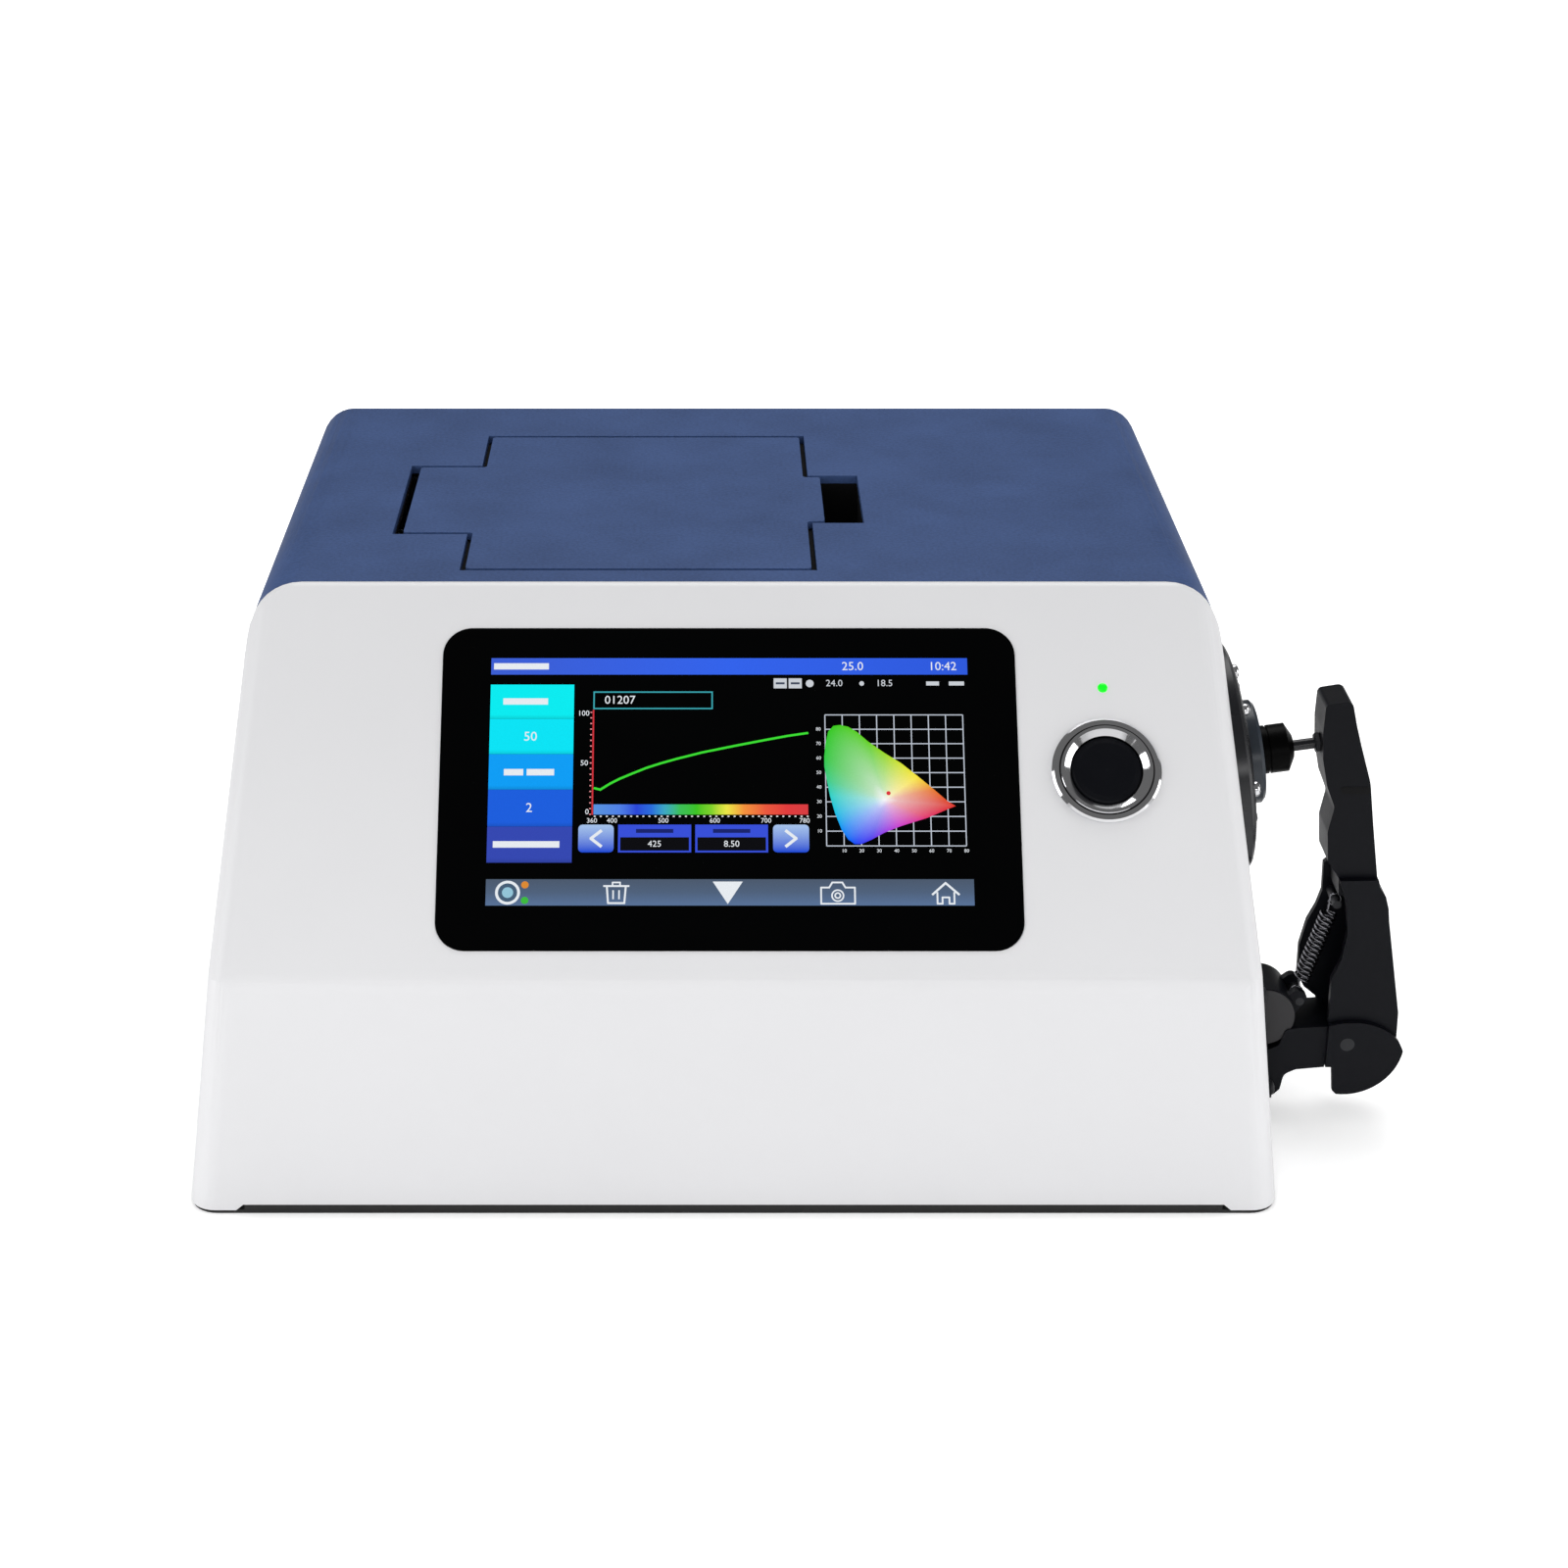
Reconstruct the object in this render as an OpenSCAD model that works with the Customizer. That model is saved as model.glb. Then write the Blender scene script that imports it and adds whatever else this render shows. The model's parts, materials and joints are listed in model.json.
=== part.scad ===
// Benchtop colorimeter with a hinged sample lid, a side measuring port and a sprung sample clamp.
// Origin: centre of the base at the level of the table. +X right, +Y to the rear, +Z up.

/* [Housing] */
// Width across the bottom of the sides
base_w = 376; // [350:1:400]
// Depth of the base
base_d = 274; // [264:1:290]
// Height of the housing without its feet
body_h = 200; // [194:1:210]
// Height of the display panel, from the nose line to the top
panel_rise = 100; // [94:1:106]
// How far the nose stands in front of the base
nose_out = 26.5; // [20:0.5:32]
// Lean of the display panel from the vertical, in degrees
panel_tilt = 43.3; // [41:0.1:45]
// Lean of the side walls, in degrees
side_draft = 8.25; // [6:0.25:9]
// Angle by which the sides draw in towards the front
toe_in = 4.2; // [2:0.1:5]
// Depth over which the sides draw in
toe_len = 57; // [50:1:60]
// Thickness of the moulded walls
wall = 3; // [2.6:0.1:3.6]
// Rounding where the top turns into the sides
side_r = 18; // [14:1:22]
// Rounding of the nose
nose_r = 9; // [6:0.5:12]
// Rounding of the rear top edge
rear_r = 8; // [5:0.5:10]
// Rounding of the edge between display panel and top
brow_r = 2.5; // [1.5:0.5:4]
// Rounding between the front and the sides
front_edge_r = 9; // [6:0.5:12]
// Height of the feet that shows below the housing
foot_show = 1.5; // [1:0.1:3]
// Height of the cut along the lower edge
hem_cut = 2.6; // [1:0.1:4]
// Width of the corners that the cut leaves
hem_corner = 20; // [15:1:30]

/* [Top cover] */
// Height of the coloured skirt below the rounding
skirt_h = 8; // [4:1:14]
// Joint line between cover and housing
seam = 0.3; // [0.2:0.05:0.5]

/* [Lid] */
// Middle of the lid opening, to the side
lid_x = -32; // [-40:1:-24]
// Distance of the lid opening from the front edge of the cover
lid_front = 10.8; // [8:0.1:16]
// Width of the main lid opening
lid_w = 120; // [110:1:130]
// Depth of the main lid opening
lid_d = 150; // [140:1:156]
// Length of the hinge tab
tab_len = 26; // [24:1:30]
// Width of the hinge tab
tab_w = 76.5; // [70:0.5:84]
// Length of the finger tab
finger_tab_len = 4.4; // [3:0.2:6]
// Width of the finger tab and of the finger hole
finger_w = 53; // [45:1:60]
// Length of the finger hole beside the tab
finger_len = 13.7; // [12:0.1:18]
// Depth of the finger pocket
finger_depth = 18; // [14:1:24]
// Gap between lid and opening
lid_gap = 1.8; // [1.2:0.1:2.4]
// Wider gap behind the hinge
hinge_gap = 3.6; // [3.4:0.1:5]
// Thickness of the lid plate
lid_t = 2.7; // [2.2:0.1:2.8]
// Corner rounding of the lid
lid_corner_r = 1.5; // [0.5:0.5:3]
// How far the hinge pin lies in from the end of the lid
hinge_in = 4; // [3.5:0.1:4.2]
// How far the hinge pin lies below the top
hinge_down = 6; // [5.8:0.1:6.2]
// Radius of the hinge pin
hinge_pin_r = 1.5; // [1.2:0.1:1.7]
// Depth of the light baffle under the lid
baffle_h = 5; // [3:0.5:8]

/* [Sample chamber] */
// Inner height of the sample chamber
chamber_h = 98; // [80:1:104]
// Ledge that the lid rests on
ledge = 4; // [3:0.5:6]
// Thickness of the chamber walls
liner_t = 2; // [1.6:0.1:2.6]
// Height of the light path above the chamber floor
beam_h = 45; // [42:1:48]
// Inner radius of the light path barrels
beam_r = 12; // [10:0.5:13]
// Inside width of the cell holder
cell_w = 12.6; // [12.4:0.1:13]

/* [Display] */
// Distance of the glass from the top edge of the panel
glass_top = 16; // [13:0.5:18]
// Sideways place of the glass
glass_x = -1.8; // [-6:0.2:2]
// Width of the black border beside the lit area
glass_side = 16; // [12:0.5:18]
// Height of the black border above and below the lit area
glass_end = 13.1; // [11:0.1:14]
// Corner rounding of the glass
glass_r = 9.5; // [6:0.5:12]
// Thickness of the glass
glass_t = 1.8; // [1.4:0.1:2.2]
// How far the glass stands proud
glass_proud = 0.4; // [0.2:0.1:0.8]
// Width of the lit area
screen_w = 155.5; // [150:0.5:158]
// Height of the lit area
screen_h = 84.1; // [80:0.1:87]

/* [Power button] */
// Sideways place of the button and its lamp
button_x = 120.4; // [117:0.2:124]
// Distance of the button from the top edge of the panel
button_down = 65.8; // [62:0.2:70]
// Radius of the chrome flange
button_flange_r = 17.8; // [16:0.1:19]
// Radius of the raised ring
button_ring_r = 15.2; // [14:0.1:15.6]
// Radius of the black cap
cap_r = 11.5; // [10:0.1:12]
// Travel of the cap
cap_travel = 1.5; // [1:0.1:2]
// Distance of the lamp from the top edge of the panel
lamp_down = 36.9; // [32:0.5:40]
// Radius of the lamp lens
lamp_r = 1.6; // [1.2:0.1:2]

/* [Measuring port] */
// Place of the port and the clamp, to the rear
port_y = -66; // [-70:1:-62]
// Height of the port centre above the table
port_z = 138.5; // [134:0.5:142]
// Radius of the port flange
port_r = 39; // [38:0.5:41]
// Height of the flange at its middle
port_h = 5.5; // [5:0.5:8]
// Radius of the aperture ring
ring_r = 17.7; // [16:0.1:19]
// Face of the aperture ring above the wall
ring_h = 11; // [10:0.5:13]
// Radius of the measuring aperture
aperture_r = 5.5; // [4:0.5:6]
// Outer radius of the integrating sphere
sphere_r = 25; // [23:0.5:26]

/* [Sample clamp] */
// Sideways place of the clamp pivot
pivot_x = 216; // [214:0.5:218]
// Height of the clamp pivot
pivot_z = 33; // [32:0.5:35]
// Radius of the pivot hood
hood_r = 20; // [19:0.5:21]
// Width of the hood
hood_w = 26; // [24:0.5:30]
// Wall of the hood
hood_t = 2; // [1.6:0.1:2.4]
// Gap between arm and hood
arm_gap = 0.4; // [0.3:0.05:0.6]
// Width of the upper arm
arm_w = 16; // [14:0.5:18]
// Radius of the pivot pin
pivot_pin_r = 2.5; // [2:0.1:3]
// Radius of the sample pad
pad_r = 8.3; // [7.5:0.1:9]
// Gap between pad and aperture ring when the clamp is closed
pad_gap = 0.3; // [0.3:0.05:0.5]
// Radius of the pad rod
rod_r = 1.9; // [1.5:0.1:2.2]

/* [Clamp spring] */
// Number of curls
spring_turns = 16; // [12:1:18]
// Radius of the curls at the middle of the wire
spring_r = 2.7; // [2.3:0.1:3]
// Diameter of the wire
wire_d = 0.9; // [0.7:0.1:1]

/* [Rear] */
// Width of the opening in the rear wall
rear_open_w = 260; // [240:1:280]
// Distance of the opening's top edge below the cover
rear_head = 29.5; // [26:0.5:36]
// Height of the lower edge of that opening
rear_open_z = 34; // [28:1:38]
// Thickness of the rear panel
rear_t = 2; // [1.5:0.1:2.5]
// Number of vent slots
vent_count = 12; // [8:1:14]
// Radius of the foot pads
foot_r = 9; // [7:0.5:11]
// Thickness of the base plate
base_t = 2; // [1.5:0.1:3]

/* [Inside] */
// Width of the main board
main_board_w = 150; // [120:1:160]
// Depth of the main board
main_board_d = 100; // [80:1:110]
// Width of the power board
power_board_w = 64; // [56:1:70]
// Depth of the power board
power_board_d = 100; // [80:1:110]
// Height of the standoffs under the boards
board_lift = 8; // [5:0.5:12]
// Width of the spectrometer block
spectrometer_w = 76; // [60:1:80]
// Depth of the spectrometer block
spectrometer_d = 58; // [50:1:60]
// Height of the spectrometer block
spectrometer_h = 36; // [30:1:40]

/* [Hidden] */
$fn = 64;
white = [0.93, 0.93, 0.94];
blue = [0.22, 0.30, 0.47];
black = [0.07, 0.07, 0.08];
steel = [0.75, 0.76, 0.78];
board = [0.10, 0.35, 0.20];
far = 400;
z0 = foot_show;
z_top = z0 + body_h;
front_y = -base_d / 2;
rear_y = base_d / 2;
nose_y = front_y - nose_out;
nose_h = body_h - panel_rise;
nose_z = z0 + nose_h;
brow_y = nose_y + panel_rise * tan(panel_tilt);
toe_y = front_y + toe_len;
half_top = base_w / 2 - body_h * tan(side_draft);
skirt_z = z_top - side_r - skirt_h;
cover_y = brow_y + brow_r;
lid_y = cover_y + lid_front + lid_d / 2;
under_z = z_top - wall;
rear_open_h = skirt_z - rear_head - rear_open_z;
base_low = z0 + hem_cut;
base_top = base_low + base_t;
chamber_floor = under_z - liner_t - chamber_h;
beam_z = chamber_floor + beam_h;
main_left = lid_x - lid_w / 2;
main_right = lid_x + lid_w / 2;
hinge_x = main_left - tab_len + hinge_gap + hinge_in;
hinge_z = z_top - hinge_down;
finger_x = main_right + finger_tab_len;
hinge_hole_w = tab_w - 2 * ledge;
hinge_ear = 6;
// Play round a shaft that turns or slides
play = 0.05;
// Gap between pieces that move past each other
slip = 0.3;
liner_margin = 8;
liner_front = lid_y - lid_d / 2 - liner_margin;
glass_w = screen_w + 2 * glass_side;
glass_h = screen_h + 2 * glass_end;
glass_back = glass_proud - glass_t;
module_t = 5.5;
frame_t = 1.2;
frame_back = glass_back - module_t - frame_t;
module_size = [screen_w + 12, screen_h + 13];
// The middles of the corners of the display frame
frame_posts = [for (x = [-1, 1], y = [-1, 1]) [x * (glass_w / 2 - 4.5), y * (glass_h / 2 - 10)]];
board_t = 1.6;
board_gap = 5;
sleeve_r = cap_r + 2;
sleeve_len = 15;
ring_face = 2.6;
port_tube_r = ring_r - 0.5;
port_bore_r = ring_r - 3;
tube_end = wall + 0.2;
sphere_t = 3;
sphere_mid = tube_end + 2 + sphere_r - 1;
sphere_rim = 4;
pad_face = ring_h + pad_gap;
pad_len = 8.8;
cone_len = 2.2;
rod_end = (pivot_x - 9 - wall_x(port_z)) / cos(side_draft);
arm_body_w = hood_w - 2 * hood_t - 2 * arm_gap;
arm_plate = 2.5;
// Lone screw below the port: y from the port centre, and height
side_screw_at = [-10, 91.5];
// Ends of the clamp spring, measured from the pivot
pin_low = [-16.9, 14.3];
pin_high = [-6.3, 50.6];
spring_pin_r = 1.5;
// Places on the rear panel as seen from behind: x to the right, y up
rocker_at = [-104, 64];
inlet_at = [-74, 64];
usb_at = [-40, 64];
serial_at = [2, 64];
rocker_size = [13, 19.4];
inlet_r = 5.6;
usb_size = [12, 10.9];
serial_size = [17.4, 9];
vent_at = [78, 90];
vent_pitch = 6.5;
vent_size = [2.8, 60];
rear_margin = 10;
cover_screw_in = 39;
rim_screw_angles = [0:90:270];
ring_screw_angles = [-26, 26, 154, 206];
chamber_low = [main_left + ledge, lid_y - lid_d / 2 + ledge, chamber_floor];
chamber_high = [main_right - ledge, lid_y + lid_d / 2 - ledge, under_z];
pocket_x = main_right + 2;
pocket_z = under_z - finger_depth;
pocket_low = [pocket_x, lid_y - finger_w / 2, pocket_z];
pocket_high = [finger_x + finger_len, lid_y + finger_w / 2, under_z];
flange_z = under_z - liner_t;
barrel_len = 26;
lug_r = hinge_down - lid_t;
lug_y = hinge_hole_w / 2 - 12;
ear_y = hinge_hole_w / 2 + slip + hinge_ear / 2;

function wall_x(z) = base_w / 2 - (z - z0) * tan(side_draft);
function unit(v) = v / norm(v);
function left_of(u) = [-u.y, u.x];
function turn(a) = a > 180 ? a - 360 : a < -180 ? a + 360 : a;

// Points of an arc of radius r that rounds the corner p between a and b
function fillet(a, p, b, r, n = 8) =
    let(u = unit(a - p), w = unit(b - p), half = acos(u * w) / 2)
    let(c = p + unit(u + w) * (r / sin(half)))
    let(s = p + u * (r / tan(half)) - c, e = p + w * (r / tan(half)) - c)
    let(a0 = atan2(s.y, s.x), da = turn(atan2(e.y, e.x) - a0))
    [for (i = [0:n]) c + r * [cos(a0 + da * i / n), sin(a0 + da * i / n)]];

// Outline with its corners rounded, each by its own radius
function rounded(pts, r, n = 8) =
    let(k = len(pts))
    [for (i = [0:k - 1]) each (r[i] <= 0 ? [pts[i]] :
        fillet(pts[(i + k - 1) % k], pts[i], pts[(i + 1) % k], r[i], n))];

// Outline, run anticlockwise, moved inwards by d
function inset(pts, d) =
    let(k = len(pts))
    [for (i = [0:k - 1])
        let(n1 = left_of(unit(pts[i] - pts[(i + k - 1) % k])))
        let(n2 = left_of(unit(pts[(i + 1) % k] - pts[i])))
        pts[i] + d * (n1 + n2) / (1 + n1 * n2)];

function shrink(r, d) = [for (x = r) max(x - d, 0)];
function box_pts(w, h) = [[-w / 2, -h / 2], [w / 2, -h / 2], [w / 2, h / 2], [-w / 2, h / 2]];
function round_box(w, h, r, n = 8) = rounded(box_pts(w, h), [r, r, r, r], n);

// Side view of the housing, y and z, carried on by drop below its lower edge
function side_pts(drop) = [
    [front_y + nose_out / nose_h * drop, z0 - drop],
    [rear_y, z0 - drop],
    [rear_y, z_top],
    [brow_y, z_top],
    [nose_y, nose_z]
];
// Front view of the housing, x and z
function end_pts(drop) =
    let(w = base_w / 2 + drop * tan(side_draft))
    [[-w, z0 - drop], [w, z0 - drop], [half_top, z_top], [-half_top, z_top]];

module extrude_x(w) {
    rotate([90, 0, 90]) linear_extrude(w, center = true) children();
}
module extrude_y(d) {
    rotate([90, 0, 0]) linear_extrude(d, center = true) children();
}
// Places children on the display panel: x to the right, y up the slope, z outwards
module on_panel(x, down, out = 0) {
    translate([x, brow_y - down * sin(panel_tilt), z_top - down * cos(panel_tilt)])
        rotate([90 - panel_tilt, 0, 0]) translate([0, 0, out]) children();
}
// Places children on the right wall, with z straight out of it
module on_wall(y, z, out = 0) {
    translate([wall_x(z), y, z]) rotate([0, 90 - side_draft, 0]) translate([0, 0, out]) children();
}
// Places children on the rear panel, seen from behind: z outwards
module on_rear(x, z, out = 0) {
    translate([-x, rear_y - wall + out, z]) rotate([90, 0, 180]) children();
}
module disc(r, h, z = 0) {
    translate([0, 0, z]) cylinder(r = r, h = h);
}
module block(size, z = 0) {
    translate([-size.x / 2, -size.y / 2, z]) cube(size);
}
module box_at(low, high) {
    translate(low) cube(high - low);
}
// Screw with a domed head and a cross recess, its head on z = 0
module screw(head_r, head_h, shank_r, shank_len) {
    slot_w = head_r * 0.3;
    difference() {
        union() {
            rotate_extrude($fn = 32) polygon(concat([[0, 0], [head_r, 0]],
                [for (i = [0:6]) [head_r * cos(90 * i / 6), head_h * (0.35 + 0.65 * sin(90 * i / 6))]]));
            disc(shank_r, shank_len + 0.01, -shank_len, $fn = 24);
        }
        for (a = [0, 90]) rotate([0, 0, a]) block([head_r * 1.2, slot_w, head_h], head_h * 0.45);
    }
}

// Wedge outside the drawn-in front part of the right wall
module toe_wedge(d) {
    translate([base_w / 2 - d / cos(side_draft), toe_y, z0]) rotate([0, 0, -toe_in])
        rotate([0, -side_draft, 0]) translate([0, -far, -far / 2]) cube([far / 4, far, far * 1.5]);
}
// Outward normals of the display panel, the front below the nose and the drawn-in side
panel_n = [0, -cos(panel_tilt), sin(panel_tilt)];
low_tilt = atan(nose_out / nose_h);
low_n = [0, -cos(low_tilt), -sin(low_tilt)];
toe_n = [cos(side_draft) * cos(toe_in), -cos(side_draft) * sin(toe_in), sin(side_draft)];
nose_corner = [
    base_w / 2 - ((nose_y - toe_y) * toe_n.y + nose_h * toe_n.z) / toe_n.x,
    nose_y,
    nose_z
];
// Bar that rounds the edge between the drawn-in side and the face with normal n1
module edge_cut(n1, d) {
    r = front_edge_r - d;
    q = nose_corner - d * (n1 + toe_n) / (1 + n1 * toe_n);
    e = unit(cross(n1, toe_n));
    v = cross(e, n1);
    a = acos(n1 * toe_n);
    c = [-r, -r * tan(a / 2)];
    k = 2;
    multmatrix([[n1.x, v.x, e.x, q.x], [n1.y, v.y, e.y, q.y], [n1.z, v.z, e.z, q.z], [0, 0, 0, 1]])
        linear_extrude(far * 2, center = true) polygon(concat(
            [[k, c.y], [k, k * tan(a / 2)], c + (r + k) * [cos(a), sin(a)]],
            [for (i = [8:-1:0]) c + r * [cos(a * i / 8), sin(a * i / 8)]]));
}
// Outer form of the housing, moved inwards by d
module body_form(d = 0, drop = 0) {
    difference() {
        intersection() {
            extrude_x(base_w + far / 4)
                polygon(rounded(inset(side_pts(drop), d), shrink([0, 0, rear_r, brow_r, nose_r], d)));
            extrude_y(base_d * 2)
                polygon(rounded(inset(end_pts(drop), d), shrink([0, 0, side_r, side_r], d)));
        }
        for (m = [0, 1]) mirror([m, 0, 0]) {
            toe_wedge(d);
            edge_cut(panel_n, d);
            edge_cut(low_n, d);
        }
    }
}
// Space of the top cover, grown by g
module cover_space(g = 0) {
    box_at([-far, cover_y - g, skirt_z - g], [far, far, far]);
}
// Ledge inside the housing that the top cover rests on
module cover_ledge() {
    step_z = skirt_z - 8;
    difference() {
        union() {
            intersection() {
                body_form(wall - 1);
                box_at([-far, brow_y + 8, step_z], [far, far, skirt_z - seam]);
            }
            intersection() {
                body_form(wall + slip);
                box_at([-far, brow_y + 8, step_z], [far, far, skirt_z + 4]);
            }
        }
        body_form(wall + 2.5, wall);
    }
    box_at([-half_top + side_r, cover_y - 5, under_z - 2], [half_top - side_r, liner_front - slip, under_z]);
}
// Posts inside the panel that carry the display frame
module display_posts() {
    for (p = frame_posts) on_panel(glass_x + p.x, glass_top + glass_h / 2 - p.y, frame_back + frame_t)
        disc(3.5, -frame_back - frame_t - wall + 0.5);
}
// Quarter-round left off along the lower edge of the front and rear walls
module hem() {
    w = base_w / 2 - hem_corner;
    extrude_y(far * 2) polygon([[-w, z0 - far], [w, z0 - far], [w, z0],
        [w - hem_cut, z0 + hem_cut], [hem_cut - w, z0 + hem_cut], [-w, z0]]);
}
module housing() {
    color(white) difference() {
        union() {
            difference() {
                body_form();
                body_form(wall, wall * 3);
            }
            intersection() {
                body_form(1, wall);
                union() {
                    cover_ledge();
                    display_posts();
                }
            }
        }
        difference() {
            cover_space(seam);
            body_form(wall);
        }
        hem();
        on_panel(glass_x, glass_top + glass_h / 2, glass_back) linear_extrude(wall)
            polygon(round_box(glass_w + seam, glass_h + seam, glass_r));
        on_panel(glass_x, glass_top + glass_h / 2, -wall * 2) linear_extrude(wall * 3)
            polygon(round_box(module_size.x + 1, module_size.y + 1, 2));
        on_panel(button_x, button_down, -wall * 2) disc(sleeve_r + slip, wall * 3);
        on_panel(button_x, lamp_down, -wall * 2) disc(lamp_r + play, wall * 3);
        on_wall(port_y, port_z, -wall * 2) disc(ring_r, wall * 3);
        translate([0, rear_y, rear_open_z]) block([rear_open_w, wall * 4, rear_open_h]);
        for (p = rear_screw_places()) on_rear(p.x, p.y, -wall) disc(1.6, wall * 3);
        for (p = cover_screw_places()) on_rear(p.x, p.y, -wall) disc(1.6, wall * 3);
        for (p = clamp_screw_places()) on_wall(port_y + p.y, pivot_z + 1.5 + p.x, -wall * 2)
            disc(1.8, wall * 3);
        on_wall(port_y + side_screw_at.x, side_screw_at.y, -wall * 2) disc(2.1, wall * 3);
    }
}
// Cross-shaped outline of the lid, drawn in by g, and by e at the hinge end
module cross_shape(g, e, r) {
    m = lid_w / 2 - g;
    d = lid_d / 2 - g;
    t = tab_w / 2 - g;
    f = finger_w / 2 - g;
    left = -lid_w / 2 - tab_len + e;
    right = lid_w / 2 + finger_tab_len;
    translate([lid_x, lid_y]) polygon(rounded([
        [left, -t], [-m, -t], [-m, -d], [m, -d], [m, -f], [right, -f],
        [right, f], [m, f], [m, d], [-m, d], [-m, t], [left, t]
    ], [for (i = [0:11]) r], 4));
}
module top_cover() {
    color(blue) difference() {
        intersection() {
            body_form();
            cover_space();
        }
        body_form(wall, wall * 3);
        translate([0, 0, under_z - 1]) linear_extrude(wall + 2) {
            cross_shape(0, 0, 0);
            translate([finger_x - 1, lid_y - finger_w / 2]) square([finger_len + 1, finger_w]);
        }
        for (p = cover_screw_places()) on_rear(p.x, p.y, -wall) disc(1.6, wall * 3);
    }
}

function rear_screw_places() = [for (x = [-1, 1], k = [0, 0.5, 1])
    [x * (rear_open_w / 2 + rear_margin / 2), rear_open_z + 6 + k * (rear_open_h - 12)]];
function cover_screw_places() = [for (x = [-1, 0, 1]) [x * (half_top - cover_screw_in), skirt_z + 2]];
module rear_cutouts() {
    translate(rocker_at) square(rocker_size, center = true);
    translate(inlet_at) circle(inlet_r);
    translate(usb_at) square(usb_size, center = true);
    translate(serial_at) square(serial_size, center = true);
    for (i = [0:vent_count - 1])
        translate(vent_at + [(i - (vent_count - 1) / 2) * vent_pitch, 0]) square(vent_size, center = true);
}
module rear_panel() {
    color([0.80, 0.81, 0.83]) difference() {
        on_rear(0, rear_open_z + rear_open_h / 2, -rear_t) linear_extrude(rear_t)
            polygon(round_box(rear_open_w + rear_margin * 2, rear_open_h + rear_margin, 3));
        on_rear(0, 0, -rear_t * 2) linear_extrude(rear_t * 3) rear_cutouts();
        for (p = rear_screw_places()) on_rear(p.x, p.y, -rear_t * 2) disc(1.6, rear_t * 3);
    }
}
module rear_screws() {
    color(steel) for (p = rear_screw_places()) on_rear(p.x, p.y, wall) screw(3, 1.8, 1.5, wall + rear_t + 3);
}
module cover_screws() {
    color(steel) for (p = cover_screw_places()) on_rear(p.x, p.y, wall) screw(3, 1.8, 1.5, wall * 2 + 2);
}
// Rocker switch frame with its cavity and the two pivot bores
module rocker_frame() {
    color(black) on_rear(rocker_at.x, rocker_at.y) difference() {
        union() {
            linear_extrude(1.6) polygon(round_box(15.4, 21.6, 1.5));
            block([rocker_size.x - 0.4, rocker_size.y - 0.4, 14], -14);
            for (x = [-1, 1]) translate([x * 3, 0, 0]) block([0.8, 4.8, 8], -21.9);
        }
        block([10.6, 15.6, 20], -4.4);
        rotate([0, 90, 0]) translate([1.5, 0, 0]) cylinder(r = 1 + play, h = 12.2, center = true);
    }
}
module power_rocker() {
    tilt = 7;
    color([0.12, 0.12, 0.13]) on_rear(rocker_at.x, rocker_at.y, 0) translate([0, 0, -1.5]) {
        rotate([tilt, 0, 0]) extrude_x(10) polygon([[-7.3, -1.8], [7.3, -1.8], [7.1, 3.9], [0, 2.6],
            [-7.1, 3.9]]);
        rotate([0, 90, 0]) cylinder(r = 1, h = 11.6, center = true);
    }
}
module power_inlet() {
    color(black) on_rear(inlet_at.x, inlet_at.y) {
        difference() {
            union() {
                disc(7.4, 1.6);
                disc(inlet_r - 0.1, 12, -11.9);
            }
            disc(3, 12, -8);
        }
        disc(1, 8, -8.1);
    }
}
module usb_port() {
    color(steel) on_rear(usb_at.x, usb_at.y) difference() {
        block([usb_size.x - 0.2, usb_size.y - 0.2, 17], -15.6);
        difference() {
            block([8.5, 7.8, 12], -8);
            block([5.6, 3.2, 8], -8.1);
        }
    }
}
module serial_port() {
    d = [[-8.2, 4.1], [-7.2, -4.1], [7.2, -4.1], [8.2, 4.1]];
    color(steel) on_rear(serial_at.x, serial_at.y) {
        difference() {
            union() {
                linear_extrude(1) polygon(round_box(31, 12.6, 1.5));
                translate([0, 0, -9]) linear_extrude(15) polygon(rounded(d, [1.5, 1.5, 1.5, 1.5]));
            }
            for (i = [0:4]) translate([(i - 2) * 2.77, 1.42, 2]) disc(0.55, 9);
            for (i = [0:3]) translate([(i - 1.5) * 2.77, -1.42, 2]) disc(0.55, 9);
        }
        for (x = [-12.5, 12.5]) translate([x, 0, 0.9]) cylinder(r = 2.4, h = 4.5, $fn = 6);
    }
}

module base_plate() {
    color([0.35, 0.36, 0.38]) difference() {
        intersection() {
            body_form(wall + slip, wall * 3);
            box_at([-far, -far, base_low], [far, far, base_top]);
        }
        for (p = foot_places()) translate([p.x, p.y, 0]) disc(1.6, far);
        for (i = [-4:4]) translate([i * 9, 60, 0]) block([3, 40, far]);
    }
}
function foot_places() = [for (x = [-1, 1], y = [-1, 1]) [x * (base_w / 2 - 42), y * (base_d / 2 - 34)]];
module rubber_feet() {
    color(black) for (p = foot_places()) translate([p.x, p.y, 0]) difference() {
        rotate_extrude() polygon([[0, 0], [foot_r - 1.5, 0], [foot_r, base_low], [0, base_low]]);
        disc(4, 3.4, -1);
        disc(1.6, far);
    }
}
module base_screws() {
    color(steel) for (p = foot_places()) translate([p.x, p.y, 2.4])
        mirror([0, 0, 1]) screw(3.2, 1.6, 1.5, base_top + 2);
}

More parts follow.
